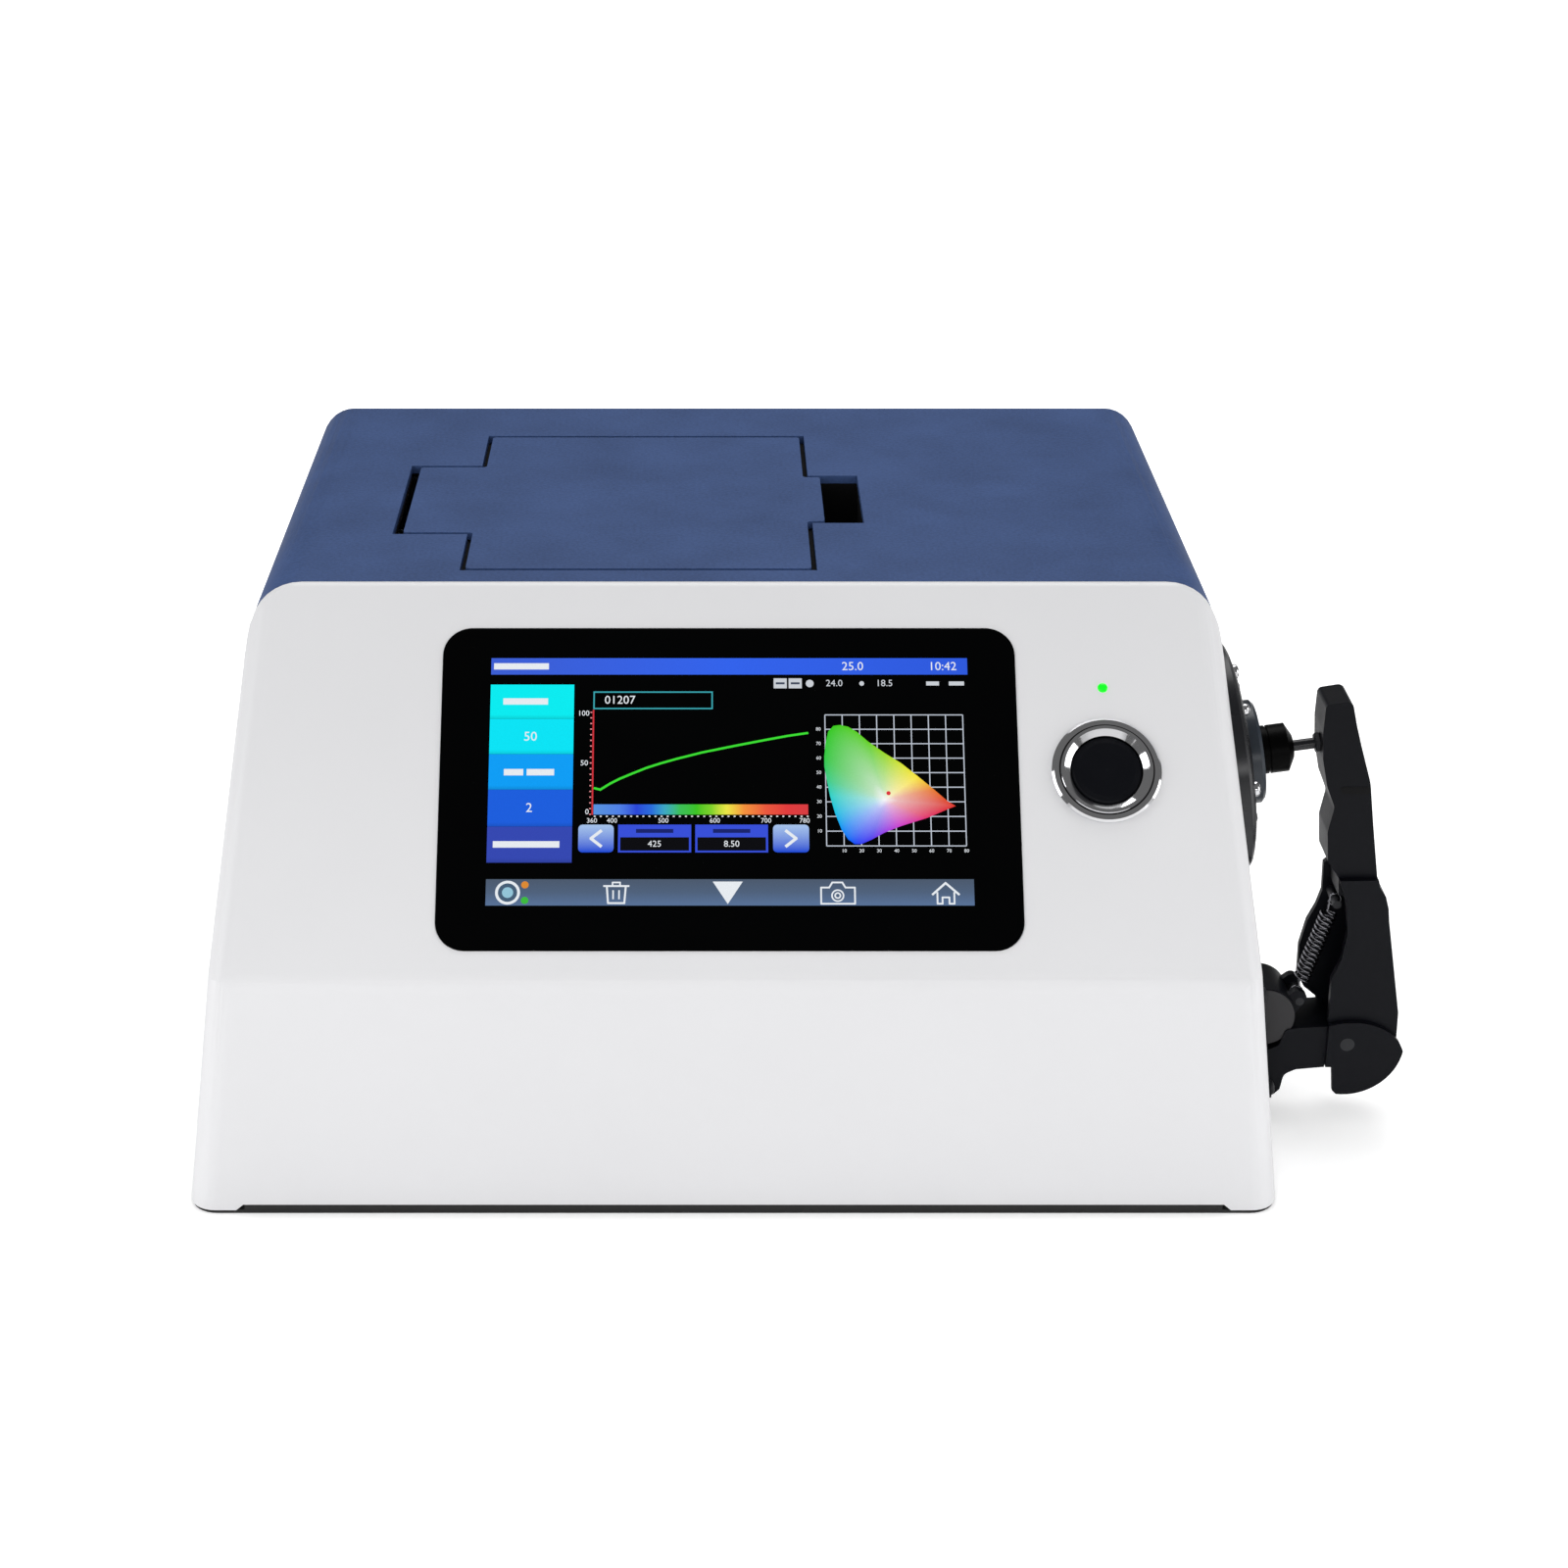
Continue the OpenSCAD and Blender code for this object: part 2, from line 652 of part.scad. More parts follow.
module display_glass() {
    color([0.02, 0.02, 0.025]) on_panel(glass_x, glass_top + glass_h / 2, glass_back)
        linear_extrude(glass_t) polygon(round_box(glass_w, glass_h, glass_r, 12));
}
module display_module() {
    color([0.15, 0.16, 0.2]) on_panel(glass_x, glass_top + glass_h / 2, glass_back - module_t)
        linear_extrude(module_t) polygon(round_box(module_size.x, module_size.y, 1.5));
}
module display_frame() {
    color(steel) on_panel(glass_x, glass_top + glass_h / 2, frame_back) {
        difference() {
            linear_extrude(frame_t) polygon(round_box(glass_w, glass_h - 10, 4));
            block([screen_w - 20, screen_h - 20, 10], -5);
        }
        for (x = [-1, 1], y = [-1, 1])
            translate([x * (screen_w / 2 - 4), y * (screen_h / 2 - 4), 0]) disc(2.5, board_gap, -board_gap);
    }
}
module display_board() {
    color(board) on_panel(glass_x, glass_top + glass_h / 2, frame_back - board_gap - board_t) {
        block([screen_w, screen_h, board_t]);
        translate([-30, 10, 0]) block([16, 16, 1.6], -1.6);
        translate([28, 12, 0]) block([12, 12, 1.4], -1.4);
        translate([0, -34, 0]) block([40, 5, 4], -4);
    }
}

module lamp_lens() {
    color([0.1, 0.9, 0.15]) on_panel(button_x, lamp_down) rotate_extrude($fn = 32)
        polygon(concat([[0, -wall - 1], [lamp_r + 0.8, -wall - 1], [lamp_r + 0.8, -wall], [lamp_r, -wall]],
            [for (i = [0:5]) [lamp_r * cos(90 * i / 5), 0.7 * sin(90 * i / 5)]]));
}
// Chrome flange and raised ring of the button, with its threaded sleeve
module button_bezel() {
    bore = cap_r + slip;
    color([0.85, 0.86, 0.88]) on_panel(button_x, button_down) rotate_extrude() polygon([
        [bore, -sleeve_len], [sleeve_r, -sleeve_len], [sleeve_r, 0], [button_flange_r, 0],
        [button_flange_r, 1], [button_flange_r - 0.7, 1.6], [button_ring_r, 1.6],
        [button_ring_r - 0.3, ring_face - 0.2], [button_ring_r - 1, ring_face],
        [button_ring_r - 1.4, ring_face - 0.1], [bore, 1]
    ]);
}
module button_nut() {
    color(steel) on_panel(button_x, button_down, -wall - 4) difference() {
        cylinder(r = sleeve_r + 4.5, h = 4, $fn = 6);
        disc(sleeve_r, 6, -1);
    }
}
module switch_body() {
    color(black) on_panel(button_x, button_down, -sleeve_len) {
        disc(sleeve_r, 2, -2);
        disc(9, 8, -9.9);
        for (a = [0:90:270]) rotate([0, 0, a]) translate([6, 0, 0]) block([0.6, 2.8, 6], -15.8);
    }
}
module button_cap() {
    r = cap_r;
    color([0.06, 0.06, 0.065]) on_panel(button_x, button_down) rotate_extrude() polygon([
        [0, 2.0], [r * 0.5, 1.9], [r * 0.8, 1.6], [r - 0.8, 1.2], [r - 0.2, 0.7], [r, 0], [r, -7],
        [r - 2, -7], [r - 2, -2], [4, -2], [4, cap_travel + slip - sleeve_len],
            [0, cap_travel + slip - sleeve_len]
    ]);
}

module port_flange() {
    color(black) union() {
        difference() {
            on_wall(port_y, port_z) rotate_extrude($fn = 96) polygon([
                [port_bore_r, -3], [port_r, -3], [port_r, port_h * 0.36], [port_r - 1.2, port_h * 0.52],
                [port_r - 4, port_h * 0.6], [port_r - 6, port_h * 0.78], [port_r * 0.66, port_h * 0.84],
                [port_r * 0.62, port_h], [port_bore_r, port_h]
            ]);
            body_form();
            on_wall(port_y, port_z) {
                for (a = rim_screw_angles) rotate([0, 0, a]) translate([port_r - 9, 0, 0]) {
                    disc(1.45, far, -6);
                    disc(2.7, far, port_h * 0.8);
                }
                for (a = ring_screw_angles) rotate([0, 0, a]) translate([-ring_r - 4.5, 0, 0])
                    disc(1.05, far, port_h - 3.2);
            }
        }
        on_wall(port_y, port_z, -tube_end) difference() {
            disc(port_tube_r, tube_end + 1);
            disc(port_bore_r, tube_end + 3, -1);
        }
    }
}
module port_ring() {
    spigot = port_bore_r - 0.2;
    color([0.12, 0.12, 0.13]) on_wall(port_y, port_z) rotate_extrude($fn = 96) polygon([
        [aperture_r, ring_h], [aperture_r, ring_h - 2.5], [spigot - 1.5, 2], [spigot, 2], [spigot, port_h],
        [ring_r, port_h], [ring_r, ring_h - 1.6], [ring_r - 1.2, ring_h - 0.5], [ring_r - 6, ring_h - 0.5],
        [ring_r - 6.6, ring_h]
    ]);
}
// Large screws on the rim and small ones in pairs beside the ring
module port_screws() {
    color([0.86, 0.87, 0.9]) on_wall(port_y, port_z) {
        for (a = rim_screw_angles) rotate([0, 0, a]) translate([port_r - 9, 0, port_h * 0.8])
            screw(2.6, 2, 1.4, 3);
        for (a = ring_screw_angles) rotate([0, 0, a]) translate([-ring_r - 4.5, 0, port_h])
            screw(2.1, 2.2, 1, 3);
    }
}
module sphere_half(s) {
    ri = sphere_r - sphere_t;
    hole = port_bore_r - 5;
    a0 = acos(hole / sphere_r);
    a1 = acos(hole / ri);
    on_wall(port_y, port_z, -sphere_mid) mirror([0, 0, s]) difference() {
        union() {
            rotate_extrude() polygon(concat(
                [for (i = [0:12]) sphere_r * [cos(a0 * i / 12), sin(a0 * i / 12)]],
                [for (i = [12:-1:0]) ri * [cos(a1 * i / 12), sin(a1 * i / 12)]]));
            difference() {
                disc(sphere_r + sphere_rim, 2.5);
                disc(sphere_r - 1, 4, -1);
            }
            difference() {
                disc(port_tube_r - 0.5, 2, sphere_mid - tube_end - 2);
                disc(hole, 9, sphere_mid - tube_end - 5);
            }
            difference() {
                disc(hole + 2.5, sphere_mid - tube_end - 20, 20);
                disc(hole, 30, 10);
                sphere(r = sphere_r - 1);
            }
        }
    }
}
module sphere_front() {
    color([0.9, 0.9, 0.88]) sphere_half(0);
}
module sphere_back() {
    color([0.9, 0.9, 0.88]) sphere_half(1);
}
module sphere_lamp() {
    h = sphere_mid - tube_end;
    color([0.3, 0.3, 0.32]) on_wall(port_y, port_z, -sphere_mid - h) mirror([0, 0, 1]) {
        disc(port_tube_r - 0.5, 3);
        disc(10, 20, 2.9);
        for (i = [0:4]) disc(13, 1.6, 5 + i * 3.4);
    }
}
// Cradle that carries the sphere above the base plate
module optics_stand() {
    x = wall_x(port_z) - sphere_mid * cos(side_draft);
    w = sphere_r * 2 + 8;
    color([0.5, 0.51, 0.53]) {
        difference() {
            box_at([x - 2, port_y - w / 2, base_top], [x + 2, port_y + w / 2, port_z - 10]);
            on_wall(port_y, port_z, -sphere_mid - 20) disc(sphere_r + sphere_rim + slip, 40);
            for (s = [-1, 1]) translate([x, port_y + s * 14, 46]) rotate([0, 90, 0])
                cylinder(r = 9, h = 20, center = true);
        }
        difference() {
            box_at([x + 1.9, port_y - w / 2, base_top], [x + 18, port_y + w / 2, base_top + 3]);
            for (s = [-1, 1]) translate([x + 11, port_y + s * 20, 0]) disc(2, far);
        }
    }
}
module spectrometer() {
    color([0.2, 0.2, 0.22]) translate([90, port_y, base_top]) {
        difference() {
            block([spectrometer_w, spectrometer_d, spectrometer_h]);
            translate([0, 0, spectrometer_h - 2]) block([spectrometer_w - 10, spectrometer_d - 10, 9]);
        }
        translate([0, 0, spectrometer_h - 2.1]) block([spectrometer_w - 12, spectrometer_d - 12, 3.4]);
        translate([-30, 12, spectrometer_h + 1.2]) disc(4, 8);
        translate([spectrometer_w / 2, 0, 12]) block([3, 24, 10]);
    }
}

module grown_box(low, high, g) {
    box_at(low - [g, g, g], [high.x + g, high.y + g, high.z]);
}
// Plate under the cover with the ledge of the lid
module liner_flange() {
    m = liner_margin;
    hole_y = ear_y + hinge_ear / 2 + slip;
    color([0.1, 0.1, 0.11]) difference() {
        union() {
            box_at([main_left - m, liner_front, flange_z],
                [pocket_high.x + m, lid_y + lid_d / 2 + m, under_z]);
            box_at([main_left - tab_len - m, lid_y - tab_w / 2 - m, flange_z],
                [main_left, lid_y + tab_w / 2 + m, under_z]);
        }
        box_at(chamber_low, chamber_high + [0, 0, 1]);
        box_at(pocket_low, pocket_high + [0, 0, 1]);
        box_at([main_left - tab_len, lid_y - hole_y, flange_z - 1],
            [main_left - 3, lid_y + hole_y, under_z + 1]);
    }
}
module chamber_liner() {
    color([0.1, 0.1, 0.11]) difference() {
        grown_box(chamber_low, [chamber_high.x, chamber_high.y, flange_z], liner_t);
        box_at(chamber_low, chamber_high);
        translate([0, lid_y, beam_z]) rotate([0, 90, 0]) cylinder(r = beam_r, h = far, center = true);
    }
}
module finger_pocket() {
    color([0.1, 0.1, 0.11]) difference() {
        grown_box(pocket_low, [pocket_high.x, pocket_high.y, flange_z], liner_t);
        box_at(pocket_low, pocket_high);
    }
}
// Places children on the outside of a chamber wall, z outwards along the light path
module on_chamber(side) {
    x = side > 0 ? chamber_high.x + liner_t : chamber_low.x - liner_t;
    translate([x, lid_y, beam_z]) rotate([0, side * 90, 0]) children();
}
module barrel() {
    difference() {
        union() {
            disc(beam_r + 7, 3);
            disc(beam_r + 2.5, barrel_len);
            disc(beam_r + 4, 5, barrel_len - 5);
        }
        disc(beam_r, barrel_len + 2, -1);
    }
}
module light_barrel() {
    color([0.15, 0.15, 0.16]) on_chamber(-1) barrel();
}
module sensor_barrel() {
    color([0.15, 0.15, 0.16]) on_chamber(1) barrel();
}
// Double-convex lens held in the light barrel
module light_lens() {
    rim = 2;
    color([0.8, 0.9, 1, 0.6]) on_chamber(-1) translate([0, 0, 9]) rotate_extrude() polygon(concat(
        [for (i = [0:8]) [beam_r * i / 8, -rim / 2 - 2 * cos(90 * i / 8)]],
        [for (i = [8:-1:0]) [beam_r * i / 8, rim / 2 + 2 * cos(90 * i / 8)]]));
}
module lamp_box() {
    s = beam_r * 2 + 16;
    color([0.4, 0.41, 0.43]) on_chamber(-1) translate([0, 0, barrel_len]) {
        block([s, s, 24]);
        for (i = [0:6]) translate([0, (i - 3) * 5, 0]) block([s, 1.6, 6], 23.9);
    }
}
module sensor_box() {
    s = beam_r * 2 + 16;
    color([0.3, 0.31, 0.33]) on_chamber(1) translate([0, 0, barrel_len]) {
        block([s, s, 30]);
        translate([s / 2 - 8, 0, 0]) block([6, 18, 4], 29.9);
    }
}
// Pedestal with a square well for a cell, crossed by the light path
module cell_holder() {
    well = beam_h - 13;
    top = beam_h + 17;
    color([0.16, 0.16, 0.17]) translate([lid_x, lid_y, chamber_floor]) difference() {
        union() {
            block([60, 60, 4]);
            block([36, 30, well], 3.9);
            block([cell_w + 8, cell_w + 8, top - 4], 4);
        }
        block([cell_w, cell_w, top], well);
        translate([0, 0, beam_h]) rotate([0, 90, 0]) cylinder(r = 4, h = 60, center = true);
        for (x = [-1, 1], y = [-1, 1]) translate([x * 25, y * 25, 0]) disc(2, 9, -1);
    }
}

module standoffs(size, h) {
    for (x = [-1, 1], y = [-1, 1]) translate([x * (size.x / 2 - 5), y * (size.y / 2 - 5), 0])
        cylinder(r = 3.4, h = h, $fn = 6);
}
module main_board() {
    size = [main_board_w, main_board_d];
    translate([-40, 0, base_top]) color(board) {
        standoffs(size, board_lift + 0.01);
        block([size.x, size.y, board_t], board_lift);
        translate([0, 0, board_lift + board_t - 0.01]) {
            translate([-20, 5, 0]) block([22, 22, 2.4]);
            translate([18, 18, 0]) block([14, 14, 1.8]);
            translate([40, -20, 0]) block([30, 8, 9]);
            translate([-50, -38, 0]) block([36, 7, 8]);
            for (i = [0:3]) translate([-58 + i * 12, 30, 0]) disc(4, 11);
        }
    }
}
module power_board() {
    size = [power_board_w, power_board_d];
    translate([100, 60, base_top]) color(board) {
        standoffs(size, board_lift + 0.01);
        block([size.x, size.y, board_t], board_lift);
        translate([0, 0, board_lift + board_t - 0.01]) {
            translate([-12, 22, 0]) block([26, 24, 20]);
            translate([16, -10, 0]) block([8, 36, 22]);
            for (i = [0:2]) translate([-20 + i * 14, -30, 0]) disc(5.5, 18);
        }
    }
}

module lid_plate() {
    color(blue) translate([0, 0, z_top - lid_t]) linear_extrude(lid_t)
        cross_shape(lid_gap, hinge_gap, lid_corner_r);
}
module lid_hinge_lugs() {
    color([0.2, 0.2, 0.21]) for (s = [-1, 1]) translate([hinge_x, lid_y + s * lug_y, hinge_z]) difference() {
        union() {
            rotate([90, 0, 0]) cylinder(r = lug_r, h = hinge_ear, center = true);
            box_at([0, -hinge_ear / 2, -1], [10, hinge_ear / 2, lug_r]);
            box_at([0, -hinge_ear / 2, lug_r - 1.6], [14, hinge_ear / 2 + 4, lug_r]);
        }
        rotate([90, 0, 0]) cylinder(r = hinge_pin_r + play, h = far, center = true);
    }
}
module lid_baffle() {
    play_side = 1;
    t = 2;
    w = lid_w - 2 * ledge - 2 * play_side;
    d = lid_d - 2 * ledge - 2 * play_side;
    color([0.08, 0.08, 0.09]) translate([lid_x, lid_y, z_top - lid_t - baffle_h]) difference() {
        block([w, d, baffle_h]);
        block([w - 2 * t, d - 2 * t, baffle_h + 2], -1);
    }
}
module hinge_pin() {
    color(steel) translate([hinge_x, lid_y, hinge_z]) rotate([90, 0, 0])
        cylinder(r = hinge_pin_r, h = 2 * ear_y + hinge_ear, center = true);
}
// Two ears that hold the hinge pin, joined below the swing of the lid
module hinge_bracket() {
    top = under_z - liner_t - hinge_z;
    low = -10;
    bar_w = 2 * ear_y + hinge_ear;
    color([0.45, 0.46, 0.48]) translate([hinge_x, lid_y, hinge_z]) difference() {
        union() {
            box_at([-2.5, -bar_w / 2, low], [8, bar_w / 2, low + 2]);
            for (s = [-1, 1]) translate([0, s * ear_y, 0]) {
                rotate([90, 0, 0]) cylinder(r = hinge_pin_r + 1.5, h = hinge_ear, center = true);
                box_at([-2.5, -hinge_ear / 2, low], [3, hinge_ear / 2, 0]);
                translate([1, s * 4.6, top - 1.6]) block([14, 8.6, 1.6]);
            }
        }
        rotate([90, 0, 0]) cylinder(r = hinge_pin_r, h = far, center = true);
    }
}

module at_pivot() {
    translate([pivot_x, port_y, pivot_z]) children();
}
// Wall plate, round boss, beam and spring fork of the clamp
module clamp_bracket() {
    w = 22;
    plate_z = pivot_z + 1.5;
    fork_r = 3;
    fork_y = 4.7;
    color([0.1, 0.1, 0.11]) difference() {
        union() {
            on_wall(port_y, plate_z, -1) linear_extrude(5) polygon(round_box(46, 34, 4));
            at_pivot() {
                translate([-29.5, 0, 9.5]) rotate([90, 0, 0]) cylinder(r = 11, h = w - 2, center = true);
                extrude_y(w) polygon(rounded([
                    [-34, -20], [-24.5, -21.5], [-22, -19], [-21, -13], [-17, -11], [-7, -10],
                    [-7, 6.2], [-17.7, 5.5], [-21.7, 4.8], [-23.6, -1.3], [-27.2, -3.1], [-34, -3.5]
                ], [0, 2, 2, 3, 3, 0, 0, 2, 2, 2, 2, 0], 5));
                for (s = [-1, 1]) translate([0, s * (fork_y + 1.5), 0]) extrude_y(3) polygon(rounded([
                    [-32, 7], [-18, 10], pin_low + [fork_r, 2], pin_low + [-1, 5], [-22, 16], [-30, 17.5]
                ], [0, 1, 2, 2.5, 3, 3], 5));
            }
        }
        body_form();
        at_pivot() translate([pin_low.x, 0, pin_low.y]) rotate([90, 0, 0])
            cylinder(r = spring_pin_r, h = far, center = true);
        for (p = clamp_screw_places()) on_wall(port_y + p.y, plate_z + p.x, -5) disc(1.8, 12);
    }
}
function clamp_screw_places() = [for (x = [-1, 1], y = [-1, 1]) [x * 18.5, y * 14]];
module clamp_screws() {
    color(steel) for (p = clamp_screw_places())
        on_wall(port_y + p.y, pivot_z + 1.5 + p.x, 4) screw(2.6, 1.6, 1.7, 9);
}
// Front view of the hood and its outer wall, from the pivot
module hood_shape() {
    r = hood_r;
    polygon(concat(
        [[-7, 7.4], [-2.2, 8.5], [4, 8.6], [8, 7.8], [12, 6.2], [r - 4.6, 4], [r - 2, 1.2], [r - 0.6, -1.6]],
        [for (i = [0:16]) let(a = -8 - 89 * i / 16) r * [cos(a), sin(a)]],
        [[-3.8, -r + 1.5], [-4.7, -9], [-7, -9]]
    ));
}
module clamp_hood() {
    inner = hood_r - hood_t;
    arm_side = hood_w - 2 * hood_t;
    color([0.09, 0.09, 0.1]) at_pivot() difference() {
        extrude_y(hood_w) hood_shape();
        extrude_y(arm_side) union() {
            intersection() {
                circle(inner);
                translate([-5, -far]) square([far, far * 2]);
            }
            translate([-5, -6.5]) square([far, far]);
            translate([-far, 6]) square([far * 2, far]);
            translate([-far, -far]) square([far, far - 10]);
        }
        rotate([90, 0, 0]) cylinder(r = pivot_pin_r, h = far, center = true);
    }
}
module clamp_pin() {
    color(steel) at_pivot() rotate([90, 0, 0]) cylinder(r = pivot_pin_r, h = hood_w, center = true);
}
function arm_low_arc() = [for (i = [0:10]) (hood_r - hood_t - arm_gap) * [cos(-75 + 75 * i / 10),
    sin(-75 + 75 * i / 10)]];
arm_shoulder = [
    [17.3, 11.5], [14, 29.5], [11.9, 41.4], [10.8, 47.3], [10.2, 52], [8.9, 56.5], [6.4, 60.3], [5.9, 62.8]
];
// Front view of the lower arm with the given left edge
module arm_low_shape(edge) {
    polygon(concat([[-4.6, 7.5], [-4.6, 0]], arm_low_arc(), arm_shoulder, edge));
}
module arm_bar_shape() {
    polygon(rounded([
        [-7, 56], [6.5, 56], [5.6, 64], [2.5, 83.4], [0.3, 98.3], [-4, 112], [-6.2, 119.5], [-8.4, 128.5],
        [-17.2, 127], [-17.4, 117.5], [-16.6, 107], [-14.4, 97], [-11.2, 89.3], [-12.8, 80], [-11.8, 69],
        [-7.5, 62.6]
    ], [0, 0, 0, 20, 20, 20, 10, 2.5, 1.8, 10, 10, 6, 4, 6, 3, 2], 6));
}
// Sprung arm: side plates and outer wall below, solid bar above
module clamp_arm() {
    front_edge = [[-7.5, 62.6], [-4.7, 54.4], [-3.1, 42.6], [-4.3, 32.4], [-7.2, 24.6], [-6.9, 7.5]];
    back_edge = [
        [-7.5, 62.6], [-9.4, 60.8], [-9.1, 50], [-10.7, 44.2], [-13.4, 38.2], [-15.4, 28.5], [-15.2, 17],
        [-12.4, 12], [-7, 7.5]
    ];
    side = arm_body_w / 2;
    color([0.08, 0.08, 0.09]) at_pivot() difference() {
        union() {
            translate([0, arm_plate / 2 - side, 0]) extrude_y(arm_plate) arm_low_shape(front_edge);
            translate([0, side - arm_plate / 2, 0]) extrude_y(arm_plate) arm_low_shape(back_edge);
            extrude_y(arm_body_w) difference() {
                arm_low_shape(front_edge);
                translate([-2.4, -2]) arm_low_shape([[-20, 62.6], [-20, 7]]);
                translate([-far - 4, -far]) square([far, far * 2]);
            }
            extrude_y(arm_body_w) intersection() {
                arm_low_shape(front_edge);
                translate([-far, 55]) square([far * 2, far]);
            }
            extrude_y(arm_w) arm_bar_shape();
            rotate([90, 0, 0]) cylinder(r = pivot_pin_r + 2, h = arm_body_w, center = true);
        }
        rotate([90, 0, 0]) cylinder(r = pivot_pin_r + play, h = far, center = true);
        translate([pin_high.x, 0, pin_high.y]) rotate([90, 0, 0])
            cylinder(r = spring_pin_r, h = far, center = true);
        translate([-pivot_x, -port_y, -pivot_z]) on_wall(port_y, port_z) disc(rod_r + play, rod_end + 0.2);
    }
}
module spring_pin_low() {
    at_pivot() translate([pin_low.x, 0, pin_low.y]) rotate([90, 0, 0])
        cylinder(r = spring_pin_r, h = 15.4, center = true);
}
module spring_pin_high() {
    side = arm_body_w / 2;
    reach = spring_r + wire_d + 1;
    color(steel) at_pivot() translate([pin_high.x, side, pin_high.y]) rotate([90, 0, 0])
        disc(spring_pin_r, side + reach);
}

// Centre line of the clamp spring: straight ends and a helix between, along its own z
spring_axis = pin_high - pin_low;
spring_len = norm(spring_axis) - 2 * (spring_pin_r + slip);
ring_count = 8;
lead = 3;
coil_len = spring_len - 2 * lead;
function coil_point(t) =
    let(a = 360 * spring_turns * t, g = min(1, t * spring_turns, (1 - t) * spring_turns))
    [spring_r * g * cos(a), spring_r * g * sin(a), lead + coil_len * t];
spring_path = concat(
    [[0, 0, 0], [0, 0, wire_d]],
    [for (i = [1:spring_turns * ring_count - 1]) coil_point(i / (spring_turns * ring_count))],
    [[0, 0, spring_len - wire_d], [0, 0, spring_len]]
);
function tangent(p, i) = unit(p[min(i + 1, len(p) - 1)] - p[max(i - 1, 0)]);
function side_of(t, ref) = unit(ref - t * (ref * t));
// Frame carried along the path so that the tube does not twist
function frames(p, i, ref) =
    let(n = side_of(tangent(p, i), ref)) i == len(p) - 1 ? [n] : concat([n], frames(p, i + 1, n));
module tube(p, r, sides) {
    n = frames(p, 0, [1, 0, 0]);
    last = len(p) - 1;
    pts = [for (i = [0:last], k = [0:sides - 1])
        let(t = tangent(p, i), b = cross(t, n[i]), a = 360 * k / sides)
        p[i] + r * (cos(a) * n[i] + sin(a) * b)];
    polyhedron(points = concat(pts, [p[0], p[last]]), faces = concat(
        [for (i = [0:last - 1], k = [0:sides - 1]) [i * sides + k, (i + 1) * sides + k,
            (i + 1) * sides + (k + 1) % sides]],
        [for (i = [0:last - 1], k = [0:sides - 1]) [i * sides + k, (i + 1) * sides + (k + 1) % sides,
            i * sides + (k + 1) % sides]],
        [for (k = [0:sides - 1]) [len(pts), k, (k + 1) % sides]],
        [for (k = [0:sides - 1]) [len(pts) + 1, last * sides + (k + 1) % sides, last * sides + k]]
    ));
}
// Least gap between the wire and itself, over points more than half a curl apart
function spring_gap() = min([for (i = [0:len(spring_path) - 1], j = [i + 5:len(spring_path) - 1])
    if (j < len(spring_path) && j - i < 14) norm(spring_path[i] - spring_path[j])]) - wire_d;
module clamp_spring() {
    echo(spring_least_gap = spring_gap());
    a = atan2(spring_axis.x, spring_axis.y);
    start = pin_low + unit(spring_axis) * (spring_pin_r + slip);
    color([0.6, 0.61, 0.63]) at_pivot() translate([start.x, 0, start.y]) rotate([0, a, 0])
        tube(spring_path, wire_d / 2, 6);
}
module pad_rod() {
    color([0.12, 0.12, 0.13]) on_wall(port_y, port_z, pad_face + 3) disc(rod_r, rod_end - pad_face - 3);
}
module sample_pad() {
    top = pad_face + pad_len;
    color([0.05, 0.05, 0.055]) on_wall(port_y, port_z) rotate_extrude() polygon([
        [0, pad_face], [pad_r - 0.4, pad_face], [pad_r, pad_face + 0.4], [pad_r, pad_face + 2],
            [pad_r - 0.6, pad_face + 2.2],
        [pad_r - 0.6, pad_face + 2.6], [pad_r, pad_face + 2.8], [pad_r, top], [rod_r + 2.2, top + cone_len],
        [rod_r, top + cone_len], [rod_r, pad_face + 3], [0, pad_face + 3]
    ]);
}
module side_screw() {
    color([0.86, 0.87, 0.9]) on_wall(port_y + side_screw_at.x, side_screw_at.y) screw(4.4, 3.6, 2, wall + 3);
}
housing();
top_cover();
rear_panel();
base_plate();
rubber_feet();
base_screws();
rear_screws();
cover_screws();
side_screw();
display_glass();
display_module();
display_frame();
display_board();
lamp_lens();
button_bezel();
button_nut();
switch_body();
button_cap();
port_flange();
port_ring();
port_screws();
sphere_front();
sphere_back();
sphere_lamp();
optics_stand();
spectrometer();
liner_flange();
chamber_liner();
finger_pocket();
light_barrel();
light_lens();
lamp_box();
sensor_barrel();
sensor_box();
cell_holder();
main_board();
power_board();
power_inlet();
usb_port();
serial_port();
rocker_frame();
power_rocker();
lid_plate();
lid_hinge_lugs();
lid_baffle();
hinge_pin();
hinge_bracket();
clamp_bracket();
clamp_hood();
clamp_screws();
clamp_pin();
clamp_arm();
clamp_spring();
spring_pin_low();
spring_pin_high();
pad_rod();
sample_pad();
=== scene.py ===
"""Benchtop colorimeter: fine pieces, finishes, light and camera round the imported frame."""

